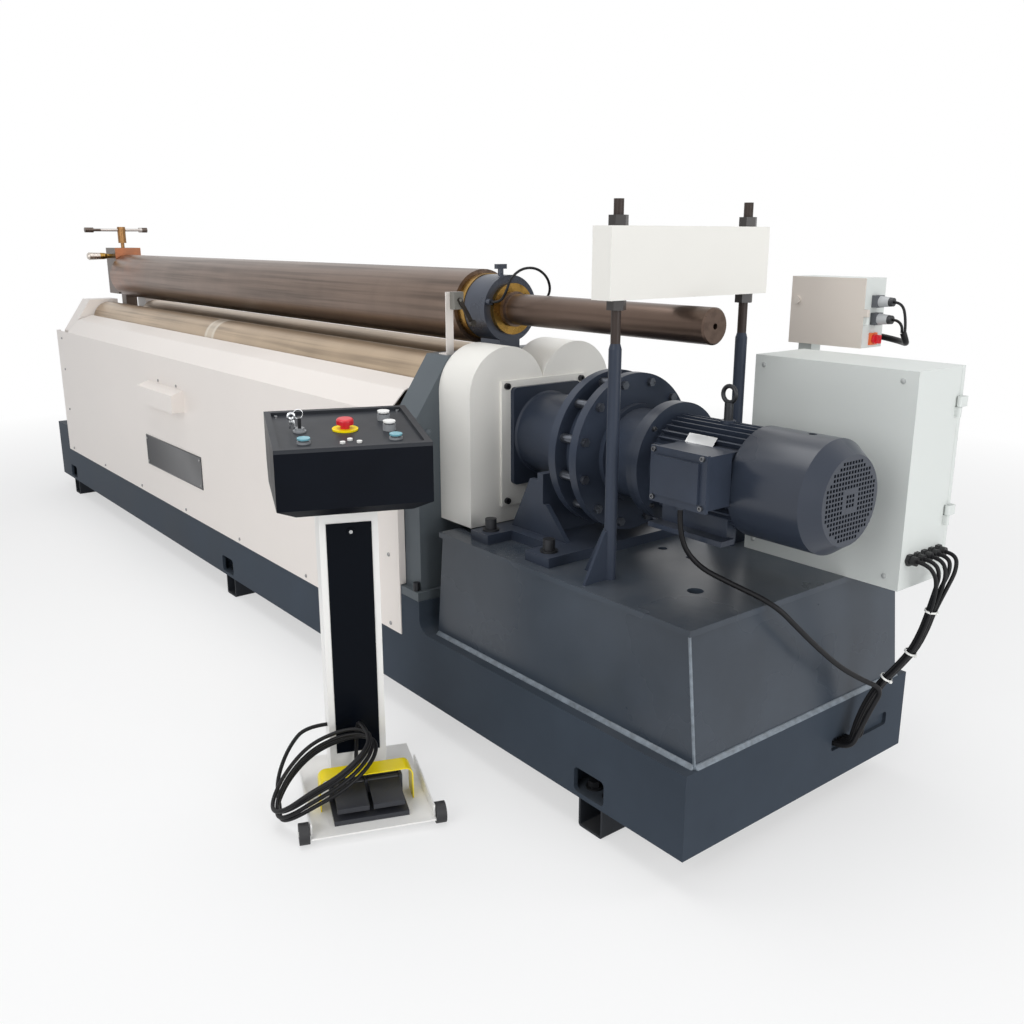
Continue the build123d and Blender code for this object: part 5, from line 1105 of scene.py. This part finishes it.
class MACHINE_OT_add_motor_details(bpy.types.Operator):
    """Model the motor's bare plate and the screws of the terminal box and flange"""

    bl_idname = "machine.add_motor_details"
    bl_label = "Add Motor Details"

    def execute(self, context):
        plate = start_box("motor_plate", (-0.040, -0.024, 0), (0.040, 0.024, 0.0012))
        step_face(plate, (0, 0, 1), 0.0015, -0.0003, 0.0004)
        lean = math.radians(50)
        outward = Vector((0, -math.sin(lean), math.cos(lean)))
        along = Vector((1, 0, 0))
        place = Vector((motor_plate_x, 0, drive_axis_z)) + outward * motor_plate_radius
        plate.matrix_world = frame_at(place, along, outward.cross(along), outward)
        finish = bare_metal("plate_silver", linear(205, 206, 206), 0.34, spread=0.06)
        settle(plate, finish, "machine")
        low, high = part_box("terminal_box")
        columns = (low[0] + lid_column_inset, high[0] - lid_column_inset)
        rows = (low[2] + box_gland_length + lid_row_inset, high[2] - lid_row_inset)
        places = front_grid(columns, low[1] + lid_panel_depth, rows)
        for number in range(4):
            turn_to = math.radians(45 + 90 * number)
            y = flange_bolt_radius * math.cos(turn_to)
            z = drive_axis_z + flange_bolt_radius * math.sin(turn_to)
            places.append(((flange_face_x, y, z), (1, 0, 0)))
        screws = spread_copies(socket_head("screw", 0.0055, 0.006), "motor_screws", places)
        settle(screws, bare_metal("screw_steel", linear(120, 121, 124), 0.35), "machine")
        return {"FINISHED"}


class MACHINE_OT_add_panel_screws(bpy.types.Operator):
    """Add the corner screws of the gear cover's pad and two screws at the back of the console"""

    bl_idname = "machine.add_panel_screws"
    bl_label = "Add Panel Screws"

    def execute(self, context):
        pad_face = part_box("gear_cover")[1][0]
        corners = [((pad_face, y, z), (1, 0, 0)) for y in (-0.131, 0.131) for z in (0.652, 0.964)]
        dark = spread_copies(socket_head("pad_screw", 0.0085, 0.009), "pad_screws", corners)
        colour = context.scene.machine_colours.bolt
        settle(dark, bare_metal("pad_screw_black", colour, 0.4, 0.8), "machine")
        backs = [(on_panel(-0.146, 0.141), panel_up), (on_panel(0.149, 0.144), panel_up)]
        bright = spread_copies(socket_head("panel_screw", 0.0045, 0.003), "panel_screws", backs)
        settle(bright, bare_metal("panel_screw_zinc", linear(196, 198, 200), 0.3), "pedestal")
        return {"FINISHED"}


class MACHINE_OT_add_key_ring(bpy.types.Operator):
    """Hang a split ring with two spare keys from the grip of the key"""

    bl_idname = "machine.add_key_ring"
    bl_label = "Add Key Ring"

    def execute(self, context):
        silver = bare_metal("key_silver", linear(206, 208, 210), 0.26, spread=0.1, scale=60.0)
        wire = {"major_radius": 0.0105, "minor_radius": 0.0009, "major_segments": 32, "minor_segments": 8}
        ring = start_shape(bpy.ops.mesh.primitive_torus_add, "key_ring", **wire)
        bpy.ops.object.mode_set(mode="EDIT")
        bpy.ops.mesh.select_all(action="SELECT")
        bpy.ops.mesh.duplicate_move(TRANSFORM_OT_translate={"value": (0, 0, 0.0017)})
        bpy.ops.object.mode_set(mode="OBJECT")
        ways = (panel_across, panel_up, -panel_away)
        ring.matrix_world = frame_at(on_panel(-0.104, -0.002, 0.0425), *ways)
        settle(ring, silver, "key")
        grip = {"major_radius": 0.0066, "minor_radius": 0.0030, "major_segments": 24, "minor_segments": 6}
        for name, lean, away in (("spare_key_left", 14, -0.0045), ("spare_key_right", -6, 0.0025)):
            key = start_shape(bpy.ops.mesh.primitive_torus_add, name, **grip)
            key.scale = (1, 1, 0.36)
            apply_place()
            blade = start_box("key_blade", (-0.0034, -0.0180, -0.0010), (0.0034, -0.0085, 0.0010))
            for step, width in ((0.0035, 0.72), (0.0040, 1.25), (0.0040, 0.78)):
                edit_faces(blade, lambda face: face.normal.y < -0.9)
                push(0, -step, 0)
                bpy.ops.transform.resize(value=(width, 1, 1))
                bpy.ops.object.mode_set(mode="OBJECT")
            round_edges(blade, 0.0003)
            join_pieces(key, blade)
            tilt = Matrix.Rotation(math.radians(lean), 4, "Z")
            key.matrix_world = frame_at(on_panel(-0.1195, away, 0.0372), *ways) @ tilt
            settle(key, silver, "key")
        return {"FINISHED"}


class MACHINE_OT_add_weld_beads(bpy.types.Operator):
    """Model the weld beads round the foot of the riser and up its near corner"""

    bl_idname = "machine.add_weld_beads"
    bl_label = "Add Weld Beads"

    def execute(self, context):
        wide = context.scene.machine_sizes.bead
        foot = riser_low[2]
        front = riser_front_y
        left = riser_low[0]
        right = riser_high[0]
        rear = riser_high[1] - 0.007
        # The beads are modelled, but their lighter paint is painted highlight along the riser's foot and
        # corner.
        colour = linear(112, 121, 130)
        finish = sprayed_paint("bead_highlight_paint", colour, 0.4, clouds=60.0, contrast=2.4, spread=0.3)
        corner_top = (right - 0.030, front, foot + 0.286)
        runs = (
            ("front_bead", (left, front, foot), (right, front, foot), Vector((0, -1, 0)), 1.0),
            ("end_bead", (right, front, foot), (right, rear, foot), Vector((1, 0, 0)), 1.0),
            ("rear_bead", (left, rear, foot), (right, rear, foot), Vector((0, 1, 0)), 1.0),
            ("corner_bead", (right, front, foot), corner_top, Vector((1, -1, 0)), 0.35),
        )
        for name, start, end, outward, share in runs:
            run = Vector(end) - Vector(start)
            sizes = {"vertices": 4, "radius": wide * share, "depth": run.length}
            bead = start_shape(bpy.ops.mesh.primitive_cylinder_add, name, **sizes)
            edit_faces(bead, lambda face: abs(face.normal.z) < 0.5)
            bpy.ops.mesh.subdivide(number_cuts=1)
            round_edges(bead, wide * share * 0.35, 3)
            way = run.normalized()
            outward = (outward - way * outward.dot(way)).normalized()
            middle = (Vector(start) + Vector(end)) / 2
            bead.matrix_world = frame_at(middle, outward, way.cross(outward), way)
            settle(bead, finish, "machine")
        return {"FINISHED"}


# Studio
def seen_rays(tree):
    """Mask of the rays from the camera, from reflections and through clear parts."""
    rays = tree.nodes.new("ShaderNodeLightPath").outputs
    mirrored = math_node(tree, "MAXIMUM", rays["Is Glossy Ray"], rays["Is Transmission Ray"])
    return math_node(tree, "MAXIMUM", rays["Is Camera Ray"], mirrored)


def whiten_floor(pale):
    """Show the floor as plain white away from the machine, and keep the shadow near it."""
    tree = pale.tree
    gap = vector_node(tree, "DISTANCE", pale.place, (0.2, 0.1, 0.0))
    reach = range_node(tree, gap, from_min=2.2, from_max=5.0, to_min=0.55, to_max=1.0)
    white = tree.nodes.new("ShaderNodeEmission")
    mask = math_node(tree, "MULTIPLY", reach, seen_rays(tree))
    mix_shaders(tree, mask, pale.shader.outputs[0], white.outputs[0], "Material Output")


class MACHINE_OT_set_stage(bpy.types.Operator):
    """Lay the pale floor, set the soft lights and place the camera"""

    bl_idname = "machine.set_stage"
    bl_label = "Set Stage"

    def execute(self, context):
        stage = context.scene.machine_stage
        add = bpy.ops.mesh.primitive_plane_add
        floor = start_shape(add, "studio_floor", size=80, location=(0, 0, -0.0005))
        pale = Finish("floor_pale", 0.75)
        tone = pale.group("tone_clouds", Scale=0.6, Contrast=0.6)["Tone"]
        pale.feed("Base Color", pale.blend(tone, shift(stage.floor, 0.985), stage.floor))
        whiten_floor(pale)
        floor.data.materials.append(pale.material)
        for name, place, aim, size, power in (
            ("overhead_light", (0.6, -0.4, 4.6), (0.4, 0.0, 0.8), 3.2, stage.overhead),
            ("front_light", (2.8, -4.8, 2.7), (1.2, 0.0, 0.6), 3.4, stage.front),
            ("end_light", (6.2, 0.2, 1.5), (2.3, 0.0, 0.5), 2.6, stage.end),
            ("rim_light", (4.0, 2.2, 3.3), (2.2, 0.0, 0.9), 1.0, stage.rim),
        ):
            lamp = bpy.data.lights.new(name, "AREA")
            lamp.shape = "SQUARE"
            lamp.size = size
            lamp.energy = power
            holder = bpy.data.objects.new(name, lamp)
            context.collection.objects.link(holder)
            holder.location = place
            holder.rotation_euler = (Vector(aim) - Vector(place)).to_track_quat("-Z", "Y").to_euler()
        world = bpy.data.worlds.new("studio")
        context.scene.world = world
        world.use_nodes = True
        tree = world.node_tree
        lit = tree.nodes["Background"]
        lit.inputs["Color"].default_value = (0.95, 0.97, 1.0, 1.0)
        lit.inputs["Strength"].default_value = stage.sky
        seen = tree.nodes.new("ShaderNodeBackground")
        seen.inputs["Color"].default_value = (1.0, 1.0, 1.0, 1.0)
        seen.inputs["Strength"].default_value = 1.0
        mix_shaders(tree, seen_rays(tree), lit.outputs[0], seen.outputs[0], "World Output")
        lens = bpy.data.cameras.new("photo_view")
        lens.sensor_width = 36.0
        lens.lens = 35.06
        lens.shift_x = -0.001
        lens.shift_y = -0.0103
        camera = bpy.data.objects.new("photo_view", lens)
        context.collection.objects.link(camera)
        camera.location = (3.542, -1.748, 1.344)
        camera.rotation_euler = Vector((-0.7571, 0.6011, -0.2561)).to_track_quat("-Z", "Y").to_euler()
        context.scene.camera = camera
        context.scene.view_settings.view_transform = "Standard"
        return {"FINISHED"}


# Panel and registration
class MACHINE_PT_looks(bpy.types.Panel):
    """Looks of the plate rolling machine"""

    bl_idname = "MACHINE_PT_looks"
    bl_label = "Rolling Machine"
    bl_space_type = "VIEW_3D"
    bl_region_type = "UI"
    bl_category = "Rolling Machine"

    def draw(self, context):
        layout = self.layout
        for settings in ("machine_colours", "machine_sizes", "machine_stage"):
            holder = getattr(context.scene, settings)
            box = layout.box()
            for label in holder.__annotations__:
                box.prop(holder, label)
        for operator in operators:
            layout.operator(operator.bl_idname)


settings_classes = (MachineColours, MachineSizes, StageSettings)
operators = (
    MACHINE_OT_set_stage,
    MACHINE_OT_lay_motor_cable,
    MACHINE_OT_lay_cabinet_cables,
    MACHINE_OT_lay_plug_cables,
    MACHINE_OT_lay_bearing_hose,
    MACHINE_OT_lay_pedal_cable,
    MACHINE_OT_paint_frame,
    MACHINE_OT_finish_metal,
    MACHINE_OT_finish_pedestal,
    MACHINE_OT_add_cover_plate,
    MACHINE_OT_add_cover_rivets,
    MACHINE_OT_add_enclosure_caps,
    MACHINE_OT_add_motor_details,
    MACHINE_OT_add_panel_screws,
    MACHINE_OT_add_key_ring,
    MACHINE_OT_add_weld_beads,
)


def register():
    for kind in settings_classes + operators + (MACHINE_PT_looks,):
        bpy.utils.register_class(kind)
    bpy.types.Scene.machine_colours = bpy.props.PointerProperty(type=MachineColours)
    bpy.types.Scene.machine_sizes = bpy.props.PointerProperty(type=MachineSizes)
    bpy.types.Scene.machine_stage = bpy.props.PointerProperty(type=StageSettings)


def unregister():
    del bpy.types.Scene.machine_stage
    del bpy.types.Scene.machine_sizes
    del bpy.types.Scene.machine_colours
    for kind in reversed(settings_classes + operators + (MACHINE_PT_looks,)):
        bpy.utils.unregister_class(kind)


def main():
    register()
    for operator in operators:
        family, action = operator.bl_idname.split(".")
        getattr(getattr(bpy.ops, family), action)()


if __name__ == "__main__":
    main()
